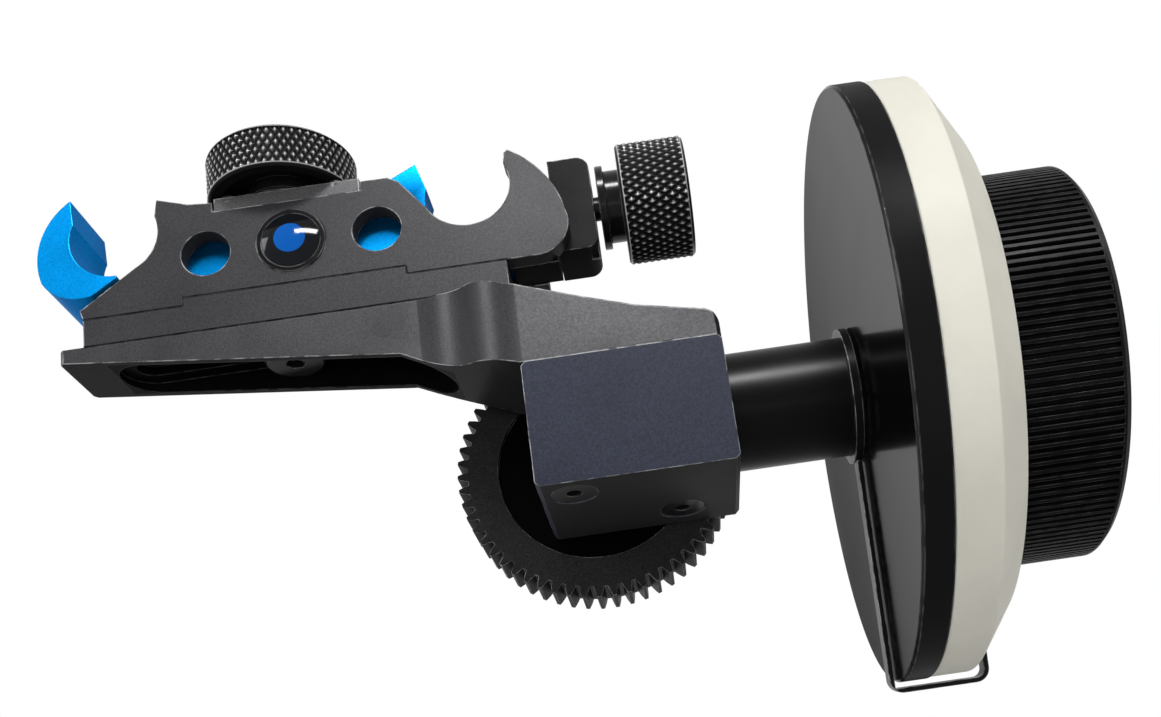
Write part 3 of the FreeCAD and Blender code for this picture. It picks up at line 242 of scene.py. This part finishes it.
def anodised(name, colour, roughness, edge_colour, edge_amount, metal=0.25, edge_width=0.00022, grain=0.12,
             level=0.2, spread=0.06, speckle=0.0, tint=None):
    """An anodised coat: fine blasted grain, faint cloudy gloss, soft edges and bright wear on the edges.

    Wear grows as the surface's normal and the same normal rounded over the edge part from each other.
    """
    material = bpy.data.materials.new(name)
    material.use_nodes = True
    tree = material.node_tree
    link = tree.links.new
    shader = tree.nodes["Principled BSDF"]
    shader.inputs["Metallic"].default_value = metal
    shader.inputs["Specular IOR Level"].default_value = level
    if tint:
        shader.inputs["Specular Tint"].default_value = (*tint, 1.0)
    place = tree.nodes.new("ShaderNodeTexCoord")
    fine = noise(tree, place, 3500.0, 2.0)
    grit = noise(tree, place, 3200.0, 3.0)
    cloud = noise(tree, place, 90.0, 4.0)
    scuff = noise(tree, place, 420.0, 5.0)
    rounded = tree.nodes.new("ShaderNodeBevel")
    rounded.samples = 6
    rounded.inputs["Radius"].default_value = edge_width
    bump = tree.nodes.new("ShaderNodeBump")
    bump.inputs["Strength"].default_value = grain
    bump.inputs["Distance"].default_value = 0.00004
    link(fine, bump.inputs["Height"])
    link(rounded.outputs["Normal"], bump.inputs["Normal"])
    link(bump.outputs["Normal"], shader.inputs["Normal"])
    link(ranged(tree, cloud, 0.3, 0.7, roughness - spread, roughness + spread), shader.inputs["Roughness"])
    surface = tree.nodes.new("ShaderNodeNewGeometry")
    bend = vectors(tree, "DOT_PRODUCT", surface.outputs["Normal"])
    link(rounded.outputs["Normal"], bend.inputs[1])
    worn = ranged(tree, bend.outputs["Value"], 0.985, 0.86, 0.0, 1.0)
    patches = ranged(tree, scuff, 0.42, 0.55, 0.15 * edge_amount, edge_amount)
    wear = maths(tree, "MULTIPLY", worn, patches)
    clouded = mixed(tree, cloud, [c * 0.88 for c in colour], [c * 1.12 for c in colour])
    grains = ranged(tree, grit, 0.35, 0.65, 1.0 - speckle, 1.0 + speckle)
    link(mixed(tree, wear, scaled(tree, clouded, grains), edge_colour), shader.inputs["Base Color"])
    return material


def coloured(material, colour, mask):
    """Turns a finish's base colour to another where the mask is one."""
    tree = material.node_tree
    base = tree.nodes["Principled BSDF"].inputs["Base Color"]
    before = base.links[0].from_socket
    tree.links.new(mixed(tree, mask(tree), before, colour), base)
    return material


def shaded(material, strength, mask):
    """Darkens a finish's base colour by the strength where the mask is one."""
    tree = material.node_tree
    base = tree.nodes["Principled BSDF"].inputs["Base Color"]
    before = base.links[0].from_socket
    kept = ranged(tree, mask(tree), 0.0, 1.0, 1.0, 1.0 - strength)
    tree.links.new(scaled(tree, before, kept), base)
    return material


def matt(material, mask, strength=1.0):
    """Takes the gloss and the metal out of a finish by the strength where the mask is one."""
    tree = material.node_tree
    kept = ranged(tree, mask(tree), 0.0, 1.0, 1.0, 1.0 - strength)
    for name in ("Specular IOR Level", "Metallic"):
        socket = tree.nodes["Principled BSDF"].inputs[name]
        before = socket.links[0].from_socket if socket.links else socket.default_value
        tree.links.new(maths(tree, "MULTIPLY", kept, before), socket)
    return material


def inside_boxes(boxes, soft=0.00006):
    """A mask that is one inside any of the boxes, each a (middle, half size) pair in metres."""
    def mask(tree):
        found = None
        for middle, half in boxes:
            away = vectors(tree, "SUBTRACT", coordinates(tree), middle)
            away = vectors(tree, "ABSOLUTE", away.outputs["Vector"])
            beyond = split(tree, vectors(tree, "SUBTRACT", away.outputs["Vector"], half).outputs["Vector"])
            largest = maths(tree, "MAXIMUM", beyond.outputs["X"], beyond.outputs["Y"])
            largest = maths(tree, "MAXIMUM", largest, beyond.outputs["Z"])
            inside = ranged(tree, largest, 0.0, soft, 1.0, 0.0)
            found = inside if found is None else maths(tree, "MAXIMUM", found, inside)
        return found
    return mask


def near_axis(centre, axis, radius, soft=0.0001, beyond=0.0):
    """A mask that is one between two radii, beyond and radius, of an axis X, Y or Z through the centre."""
    across = [0.0 if name == axis else 1.0 for name in "XYZ"]

    def mask(tree):
        away = vectors(tree, "SUBTRACT", coordinates(tree), centre)
        away = vectors(tree, "MULTIPLY", away.outputs["Vector"], across)
        reach = vectors(tree, "LENGTH", away.outputs["Vector"]).outputs["Value"]
        within = ranged(tree, reach, radius - soft, radius, 1.0, 0.0)
        return maths(tree, "MULTIPLY", within, maths(tree, "GREATER_THAN", reach, beyond))
    return mask


def facing_down(tree):
    """A mask that is one on the faces that look along -Z."""
    surface = tree.nodes.new("ShaderNodeNewGeometry")
    return ranged(tree, split(tree, surface.outputs["True Normal"]).outputs["Z"], -0.6, -0.9, 0.0, 1.0)


def dress(material, *names):
    """Gives CAD nodes a finish."""
    for name in names:
        slots = nodes[name].data.materials
        slots.clear()
        slots.append(material)


def middle_of(low, high):
    """The middle of a box between its low and high corners."""
    return [(start + end) / 2 for start, end in zip(low, high)]


bare_metal = (0.60, 0.60, 0.61)
bright_edge = (0.75, 0.75, 0.75)
middle_x = -0.030
through = 0.02

# ---------------------------------------------------------------- clamp plates, base bar, cap plate, arm
# Milled aluminium plates, blasted and black anodised, screwed face to face on the base bar. Their edges
# have begun to wear bright, and the joints between the plates, the bar and the arm are darkened as dirt
# does. The inside of the arm's slot, the end block's tongue under the plates and the arm's downward faces
# carry painted shade.

joint = 0.00017
plate_joint = -0.0135
end_joint = -0.0150
bar_joint = -0.0200
step_half = 0.0188
step_deep = 0.00075
end_joint_out = 0.0272
end_joint_half = 0.0084
joint_lines = [
    ((middle_x, 0.0, plate_joint), (step_half, through, joint)),
    *[((middle_x + side * end_joint_out, 0.0, end_joint), (end_joint_half, through, joint))
      for side in (-1, 1)],
    *[((middle_x + side * step_half, 0.0, plate_joint - step_deep), (joint, through, step_deep))
      for side in (-1, 1)],
    ((middle_x, 0.0, bar_joint), (0.080, through, joint))]
slot_shade_box = [((middle_x - 0.0037, 0.0, -0.0310), (0.0284, 0.0054, 0.0105))]
tongue_shade_box = [((middle_x + 0.0425, 0.0, -0.0142), (0.0100, through, 0.0012))]

coat = dict(roughness=0.40, edge_colour=bare_metal, edge_amount=1.0, metal=0.1, speckle=0.2, grain=0.3,
            level=0.04, edge_width=0.00036)
block_look = {**coat, "level": 0.015, "metal": 0.0}
arm_look = {**coat, "roughness": 0.33, "metal": 0.26}
cap_look = {**coat, "roughness": 0.34}
cup_look = {**coat, "roughness": 0.22, "edge_amount": 0.3}
black_coat = anodised("black_anodised", (0.012, 0.012, 0.013), **block_look)
# Painted shade: the end block's tongue under the clamp plates is darkened.
shaded(black_coat, 0.7, inside_boxes(tongue_shade_box))
plate_coat = shaded(anodised("black_plate", (0.035, 0.035, 0.0375), **coat), 0.94, inside_boxes(joint_lines))
arm_coat = anodised("black_arm", (0.042, 0.042, 0.0445), **arm_look)
shaded(arm_coat, 0.94, inside_boxes(joint_lines))
# Painted shade: the inside of the arm's slot is darkened.
shaded(arm_coat, 0.9, inside_boxes(slot_shade_box))
# Painted shade: the arm's downward faces are darkened and lose most of their gloss.
shaded(arm_coat, 0.45, facing_down)
matt(arm_coat, facing_down, 0.8)
dress(plate_coat, "front_clamp_plate", "rear_clamp_plate", "base_bar")
dress(arm_coat, "support_arm")
dress(black_coat, "end_block")
dress(anodised("black_cap", (0.095, 0.095, 0.098), **cap_look), "cap_plate")
dress(anodised("black_cup", (0.006, 0.006, 0.0065), **cup_look), "badge_cup")

# ---------------------------------------------------------------- jaw
# One milled aluminium slide with the left hook and the right tooth, bright blue anodised, satin. It is
# painted darker where it lies behind the two round holes of the clamp plate, as painted shade from the plate.

blue_coat = anodised("blue_anodised", (0.0012, 0.190, 0.495), 0.38, (0.03, 0.42, 0.80), 0.7, metal=0.4,
                     level=0.01, tint=(0.05, 0.45, 0.85), speckle=0.15)
hole_out = 0.0146
hole_height = -0.0010
hole_shade_size = (0.0060, through, 0.0030)
hole_shade_boxes = [((middle_x + side * hole_out, 0.0, hole_height), hole_shade_size) for side in (-1, 1)]
# Painted shade: the blue behind the two holes is darkened.
dress(shaded(blue_coat, 0.85, inside_boxes(hole_shade_boxes, soft=0.0060)), "rod_jaw")

# ---------------------------------------------------------------- gearbox housing
# A sawn and milled block with slate anodising, worn bright along its edges. Faces that look down are
# turned near black and given less gloss.

slate_coat = anodised("slate_anodised", (0.0265, 0.0305, 0.0465), 0.42, bright_edge, 1.0, metal=0.05,
                      edge_width=0.00026, speckle=0.2, grain=0.25, level=0.03)
coloured(slate_coat, (0.024, 0.024, 0.025), facing_down)
dress(matt(slate_coat, facing_down, 0.5), "gearbox_housing")

# ---------------------------------------------------------------- screws, shafts, bearings, pointer
# Black oxide socket screws, bright shafts and bearings, and a bronze thrust block. The pointer is a bent
# black strip with worn edges.

black_oxide = anodised("black_oxide", (0.014, 0.014, 0.015), 0.30, bare_metal, 0.4, metal=0.2, level=0.06)
bright_steel = anodised("bright_steel", (0.30, 0.30, 0.31), 0.40, (0.5, 0.5, 0.5), 0.3, metal=1.0)
bronze = anodised("bearing_bronze", (0.36, 0.23, 0.10), 0.42, (0.5, 0.35, 0.2), 0.3, metal=1.0)
strip_coat = anodised("black_strip", (0.006, 0.006, 0.0065), 0.30, bare_metal, 1.0, metal=0.0, level=0.04)
dress(black_oxide, "clamp_plate_screws", "cap_plate_screws", "housing_screws", "jaw_screw", "wheel_screws",
      "gear_washer", "gear_screw", "lock_washer", "lock_stud", "clamp_screw")
dress(strip_coat, "pointer_arm")
dress(bright_steel, "lock_insert", "input_shaft", "output_shaft",
      "input_miter_gear", "output_miter_gear", "input_bearings", "output_bearings", "accessory_socket")
dress(bronze, "thrust_block")

# ---------------------------------------------------------------- badge
# A glossy dome, black with a plain blue dot under it. The dot is a plain disc of colour in the place of
# the mark that the photographed unit carries there.

badge_low, badge_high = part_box("badge_dome")
badge_middle = middle_of(badge_low, badge_high)
dot_radius = 0.0027
dome_coat = anodised("black_gloss", (0.006, 0.007, 0.009), 0.05, (0.05, 0.05, 0.06), 0.0, metal=0.0,
                     grain=0.0, level=0.08, spread=0.01)
coloured(dome_coat, (0.001, 0.095, 0.42), near_axis(badge_middle, "Y", dot_radius))
dress(dome_coat, "badge_dome")

# ---------------------------------------------------------------- drive gear
# A moulded and hobbed black plastic gear. The dish inside its toothed rim is darker, as it lies in its
# own shadow.

gear_low, gear_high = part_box("drive_gear")
gear_middle = middle_of(gear_low, gear_high)
gear_dish = 0.0166
gear_plastic = anodised("gear_plastic", (0.020, 0.020, 0.021), 0.36, (0.42, 0.42, 0.42), 0.9, metal=0.0,
                        edge_width=0.00018, speckle=0.3, grain=0.3, level=0.015)
dress(shaded(gear_plastic, 0.95, near_axis(gear_middle, "Y", gear_dish)), "drive_gear")

# ---------------------------------------------------------------- turned pieces
# These functions turn a piece anew on the outline of its solid, with small arcs at the corners, and cut
# its knurl. Lengths closer than close count as the same, and rows closer than touching as one.

close = 1e-6
touching = 1e-9
no_length = 1e-20
arc_steps = 4
longest_arc = 0.45


def rounded_outline(points, corner_radius):
    """An outline with an arc at each corner, as rows (along, radius) and their outward normals.

    Each arc touches both edges at radius / tan(half the corner's angle) from the corner. The outline runs
    so that the outside is on its left when the axis points right.
    """
    points = np.array(points, dtype=float)
    count = len(points)
    places, normals = [], []
    for index in range(count):
        corner = points[index]
        before = points[index - 1] - corner
        after = points[(index + 1) % count] - corner
        long_before, long_after = np.linalg.norm(before), np.linalg.norm(after)
        before, after = before / long_before, after / long_after
        normal_in = np.array([before[1], -before[0]])
        angle = math.acos(max(-1.0, min(1.0, float(before @ after))))
        reach = min(corner_radius / math.tan(angle / 2), longest_arc * long_before, longest_arc * long_after)
        radius = reach * math.tan(angle / 2)
        middle_line = before + after
        centre = corner + middle_line / np.linalg.norm(middle_line) * radius / math.sin(angle / 2)
        start = corner + before * reach - centre
        end = corner + after * reach - centre
        first = math.atan2(start[1], start[0])
        sweep = (math.atan2(end[1], end[0]) - first + math.pi) % (2 * math.pi) - math.pi
        side = 1.0 if float(normal_in @ start) > 0 else -1.0
        for step in range(arc_steps + 1):
            bearing = first + sweep * step / arc_steps
            spoke = np.array([math.cos(bearing), math.sin(bearing)])
            places.append(centre + spoke * radius)
            normals.append(spoke * side)
    return np.array(places), np.array(normals)


def turned(name, outline, centre, material, body, replaced, corner, around, axis="X", carve=None,
           carved=None, rows=0):
    """A solid of revolution: the closed outline (along, radius) carried round the axis in equal steps.

    carve(along, angle) is a depth taken off the radius between the two along values in carved, where the
    outline gets more rows; there the faces are flat, and elsewhere they shade with the outline's normals.
    """
    places, normals = rounded_outline(outline, corner)
    flat_rows = np.zeros(len(places), dtype=bool)
    if carve is not None:
        low, high = carved
        level = max(radius for along, radius in outline)
        edge = np.where((places[:, 1] > level - close))[0]
        first = edge[np.argmin(places[edge, 0])]
        last = edge[np.argmax(places[edge, 0])]
        start, stop = min(first, last), max(first, last)
        steps = np.linspace(0.0, 1.0, rows + 1)[:, None]
        inner = places[start] * (1 - steps) + places[stop] * steps
        places = np.vstack([places[:start], inner, places[stop + 1:]])
        normals = np.vstack([normals[:start], np.tile((0.0, 1.0), (rows + 1, 1)), normals[stop + 1:]])
        flat_rows = np.zeros(len(places), dtype=bool)
        flat_rows[start:start + rows] = True
    angles = np.arange(around) * 2 * math.pi / around
    along = np.repeat(places[:, 0][:, None], around, axis=1)
    radius = np.repeat(places[:, 1][:, None], around, axis=1)
    turn_angle = np.repeat(angles[None, :], len(places), axis=0)
    if carve is not None:
        inside = (along >= low - touching) & (along <= high + touching) & (radius > level - close)
        radius = radius - np.where(inside, carve(along, turn_angle), 0.0)
    cosine, sine = np.cos(turn_angle), np.sin(turn_angle)
    if axis == "X":
        points = np.stack([along, centre[1] + radius * cosine, centre[2] + radius * sine], axis=-1)
        spokes = np.stack([np.zeros_like(cosine), cosine, sine], axis=-1)
        forward = np.array([1.0, 0.0, 0.0])
    else:
        points = np.stack([centre[0] + radius * cosine, centre[1] + radius * sine, along], axis=-1)
        spokes = np.stack([cosine, sine, np.zeros_like(cosine)], axis=-1)
        forward = np.array([0.0, 0.0, 1.0])
    soft = normals[:, 0][:, None, None] * forward + normals[:, 1][:, None, None] * spokes
    row = np.arange(len(places))[:, None]
    next_row = (row + 1) % len(places)
    column = np.arange(around)[None, :]
    next_column = (column + 1) % around
    faces = np.stack([row * around + column, next_row * around + column,
                      next_row * around + next_column, row * around + next_column], axis=-1)
    following = np.roll(places, -1, axis=0)
    kept = np.linalg.norm(following - places, axis=1) > touching
    faces = faces[kept].reshape(-1, 4)
    flat = np.repeat(flat_rows[kept], around)
    flat_points = points.reshape(-1, 3)
    corners = flat_points[faces]
    face_normals = np.cross(corners[:, 2] - corners[:, 0], corners[:, 3] - corners[:, 1])
    face_normals /= np.linalg.norm(face_normals, axis=1)[:, None] + no_length
    loop_normals = soft.reshape(-1, 3)[faces]
    if float((face_normals * loop_normals.mean(axis=1))[~flat].sum()) < 0:
        faces = faces[:, ::-1]
        loop_normals = loop_normals[:, ::-1]
        face_normals = -face_normals
    loop_normals[flat] = face_normals[flat][:, None, :]
    mesh = bpy.data.meshes.new(name)
    mesh.from_pydata(flat_points.tolist(), [], faces.tolist())
    mesh.polygons.foreach_set("use_smooth", np.ones(len(faces), dtype=bool))
    mesh.normals_split_custom_set(loop_normals.reshape(-1, 3).tolist())
    mesh.materials.append(material)
    piece = bpy.data.objects.new(name, mesh)
    scene.collection.objects.link(piece)
    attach(piece, body)
    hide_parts(*replaced)
    return piece


def by_radius(piece, centre, material, low, high):
    """Gives the faces whose middles lie between two radii of an axis along X a second finish."""
    piece.data.materials.append(material)
    places = np.zeros(len(piece.data.polygons) * 3)
    piece.data.polygons.foreach_get("center", places)
    away = places.reshape(-1, 3) - centre
    away[:, 0] = 0.0
    reach = np.linalg.norm(away, axis=1)
    piece.data.polygons.foreach_set("material_index", ((reach > low) & (reach < high)).astype(np.int32))


def knurled(name, centre, axis, outer, depth):
    """A knurl's coat: glossy facets, tips kept bright as wear and painted highlight, grooves matt as painted
    shade.
    """
    material = anodised(name, (0.50, 0.50, 0.50), 0.28, (0.5, 0.5, 0.5), 0.0, metal=0.0, level=0.30,
                        grain=0.0, spread=0.03)
    # Only the tips keep the bright base colour: partly wear, partly a painted highlight.
    coloured(material, (0.008, 0.008, 0.0085), near_axis(centre, axis, outer - 0.00003, soft=0.00012))
    # Painted shade: the grooves lose all their gloss.
    grooves = near_axis(centre, axis, outer - 0.35 * depth, soft=0.5 * depth, beyond=outer - 1.1 * depth)
    return matt(material, grooves)


def knurl(columns, pitch, depth):
    """Crossed spiral cuts: the depth left over from the nearer of two families of V grooves.

    A point's height is the lesser of its distances from the two grooves beside it, in half pitches,
    so each field between four grooves is a small pyramid with a slightly flattened top.
    """
    def carve(along, angle):
        left = (angle * columns / (2 * math.pi) + along / pitch) % 1.0
        right = (angle * columns / (2 * math.pi) - along / pitch) % 1.0
        height = np.minimum(1 - np.abs(2 * left - 1), 1 - np.abs(2 * right - 1))
        return depth * (1 - np.minimum(height / 0.9, 1.0))
    return carve


knurl_depth = 0.0004
knurl_chamfer = 0.0005
knurl_corner = 0.00012
steps_per_cut = 8
dish_step = 0.0008
core = 0.0003

# ---------------------------------------------------------------- clamp knob and its washer
# A turned aluminium knob, knurled with crossed spiral cuts, black anodised, on its neck and washer. Its
# end is dished, and a bore from the neck takes the screw.

neck_gloss = anodised("neck_gloss", (0.008, 0.008, 0.0085), 0.18, bare_metal, 0.8, metal=0.0, level=0.09,
                      spread=0.02, edge_width=0.0003)
knob_low, knob_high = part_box("clamp_knob")
knob_axis = middle_of(knob_low, knob_high)
knob_left, knob_right = knob_low[0], knob_high[0]
knob_outer = (knob_high[1] - knob_low[1]) / 2
neck_outer = 0.0060
screw_outer = 0.0020
grip_start = knob_right - 0.0115
knob_dish_outer = 0.0050
knob_dish_inner = 0.0042
knob_bore_end = knob_right - 0.0035
grip_columns = 44
grip_pitch = 2 * math.pi * knob_outer / grip_columns * 1.6
grip_outline = [
    (knob_left, screw_outer), (knob_left, neck_outer), (grip_start, neck_outer),
    (grip_start, knob_outer - knurl_chamfer), (grip_start + knurl_chamfer, knob_outer),
    (knob_right - knurl_chamfer, knob_outer), (knob_right, knob_outer - knurl_chamfer),
    (knob_right, knob_dish_outer), (knob_right - dish_step, knob_dish_inner), (knob_right - dish_step, core),
    (knob_bore_end, core), (knob_bore_end, screw_outer)]
grip = turned("clamp_knob_grip", grip_outline, knob_axis,
              knurled("clamp_knurl", knob_axis, "X", knob_outer, knurl_depth), "clamp_knob", ["clamp_knob"],
              corner=knurl_corner, around=steps_per_cut * grip_columns,
              carve=knurl(grip_columns, grip_pitch, knurl_depth), carved=(grip_start, knob_right), rows=72)
by_radius(grip, knob_axis, neck_gloss, 0.0, neck_outer + 0.0001)

washer_low, washer_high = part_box("clamp_washer")
washer_outer = (washer_high[1] - washer_low[1]) / 2
washer_outline = [
    (washer_low[0], screw_outer), (washer_low[0], washer_outer),
    (washer_high[0], washer_outer), (washer_high[0], screw_outer)]
turned("clamp_knob_washer", washer_outline, knob_axis, neck_gloss, "clamp_knob", ["clamp_washer"],
       corner=0.00015, around=96)

# ---------------------------------------------------------------- lock knob
# A wide knurled knob over the cap plate; its underside is dished round a plain boss. The boss is bored
# for the stud and, higher up, for the threaded insert.

lock_low, lock_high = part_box("lock_knob")
lock_axis = middle_of(lock_low, lock_high)
lock_outer = (lock_high[0] - lock_low[0]) / 2
boss_low, lock_top = lock_low[2], lock_high[2]
rim_low = lock_top - 0.0079
rim_wall = 0.0022
rim_dish = rim_low + 0.0022
stud_bore = 0.00225
boss_outer = 0.0064
lock_dish_outer = 0.0080
lock_dish_inner = 0.0072
insert_outer = 0.0036
insert_low = boss_low + 0.0006
insert_top = boss_low + 0.0058
lock_columns = 58
lock_pitch = 2 * math.pi * lock_outer / lock_columns * 1.7
lock_outline = [
    (boss_low, stud_bore), (boss_low, boss_outer), (rim_dish, boss_outer), (rim_dish, lock_outer - rim_wall),
    (rim_low, lock_outer - rim_wall), (rim_low, lock_outer - knurl_chamfer),
    (rim_low + knurl_chamfer, lock_outer), (lock_top - knurl_chamfer, lock_outer),
    (lock_top, lock_outer - knurl_chamfer), (lock_top, lock_dish_outer),
    (lock_top - dish_step, lock_dish_inner), (lock_top - dish_step, core), (insert_top, core),
    (insert_top, insert_outer), (insert_low, insert_outer), (insert_low, stud_bore)]
# Painted shade: the knob's downward faces lose their gloss.
lock_coat = matt(knurled("lock_knurl", lock_axis, "Z", lock_outer, knurl_depth), facing_down)
turned("lock_knob_grip", lock_outline, lock_axis, lock_coat, "lock_knob", ["lock_knob"],
       corner=knurl_corner, around=steps_per_cut * lock_columns, axis="Z",
       carve=knurl(lock_columns, lock_pitch, knurl_depth), carved=(rim_low, lock_top), rows=60)

# ---------------------------------------------------------------- shaft tube
# A turned tube between the gearbox and the wheel, black anodised with a satin sheen. A spigot at its left
# end sits in the gearbox, and its right end is bored wider.

tube_low, tube_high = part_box("shaft_tube")
axle = middle_of(tube_low, tube_high)
tube_left, tube_right = tube_low[0], tube_high[0]
tube_outer = (tube_high[1] - tube_low[1]) / 2
tube_bore = 0.0035
spigot_outer = 0.0070
spigot_end = tube_left + 0.0026
end_bore = 0.0050
end_bore_start = tube_right - 0.0043
tube_coat = anodised("tube_anodised", (0.003, 0.003, 0.0035), 0.31, bare_metal, 0.6, metal=0.0, spread=0.03,
                     level=0.055)
tube_outline = [
    (tube_left, tube_bore), (tube_left, spigot_outer), (spigot_end, spigot_outer), (spigot_end, tube_outer),
    (tube_right, tube_outer), (tube_right, end_bore), (end_bore_start, end_bore), (end_bore_start, tube_bore)]
turned("shaft_tube_turned", tube_outline, axle, tube_coat, "arm", ["shaft_tube"], corner=0.00015, around=128)

# ---------------------------------------------------------------- back disc
# A turned aluminium disc, black anodised with a glossier face and a chamfered rim. Its reflections carry a
# painted sheen: the specular tint is strongest on the side towards the camera and fades to nought behind.

disc_low, disc_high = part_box("back_disc")
disc_outer = (disc_high[1] - disc_low[1]) / 2
disc_bore = 0.0025
disc_chamfer = 0.0004
sheen_end = 0.033
disc_coat = anodised("disc_anodised", (0.020, 0.020, 0.021), 0.13, bright_edge, 1.0, metal=0.9, grain=0.02,
                     spread=0.03, edge_width=0.0003)
disc_tree = disc_coat.node_tree
disc_parts = split(disc_tree, coordinates(disc_tree))
# Painted reflection: the specular tint fades by place across the disc.
sheen = ranged(disc_tree, disc_parts.outputs["Y"], disc_low[1], sheen_end, 0.50, 0.0)
disc_tree.links.new(sheen, disc_tree.nodes["Principled BSDF"].inputs["Specular Tint"])
rim_coat = anodised("disc_rim", (0.009, 0.009, 0.0095), 0.42, bright_edge, 1.0, metal=0.0, level=0.01,
                    edge_width=0.0003)
disc_outline = [
    (disc_low[0], disc_bore), (disc_low[0], disc_outer - disc_chamfer),
    (disc_low[0] + disc_chamfer, disc_outer), (disc_high[0], disc_outer), (disc_high[0], disc_bore)]
disc = turned("back_disc_turned", disc_outline, axle, disc_coat, "wheel", ["back_disc"], corner=0.00015,
              around=256)
by_radius(disc, axle, rim_coat, disc_outer - 0.0002, 1.0)

# ---------------------------------------------------------------- marking ring
# A white plastic ring to write focus marks on: a straight band and then a shallow cone. It sits on the
# hand wheel's core.

ring_low, ring_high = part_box("marking_ring")
ring_outer = (ring_high[1] - ring_low[1]) / 2
ring_bore = 0.0250
ring_straight = 0.0066
cone_drop = 0.0073
ring_plastic = anodised("marking_plastic", (0.74, 0.72, 0.63), 0.5, (0.80, 0.79, 0.74), 0.0, metal=0.0,
                        grain=0.05, level=0.05)
ring_outline = [
    (ring_low[0], ring_bore), (ring_low[0], ring_outer), (ring_low[0] + ring_straight, ring_outer),
    (ring_high[0], ring_outer - cone_drop), (ring_high[0], ring_bore)]
turned("marking_ring_turned", ring_outline, axle, ring_plastic, "wheel", ["marking_ring"], corner=0.0003,
       around=256)

# ---------------------------------------------------------------- hand wheel
# A moulded black plastic grip with fine ribs along it between two plain lips, dished at its end. The
# grooves between the ribs are painted darker than their tops, as painted shade.

hand_low, hand_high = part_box("hand_wheel")
hand_outer = (hand_high[1] - hand_low[1]) / 2
groove_shade_top = hand_outer - 0.00035
wheel_plastic = anodised("wheel_plastic", (0.005, 0.005, 0.0055), 0.34, (0.16, 0.16, 0.16), 0.7, metal=0.0,
                         edge_width=0.00014, level=0.03)
# Painted shade: the colour is darkened in the grooves between the ribs.
dress(shaded(wheel_plastic, 0.9, near_axis(axle, "X", groove_shade_top, soft=0.0002)), "hand_wheel")
dress(black_coat, "wheel_hub")
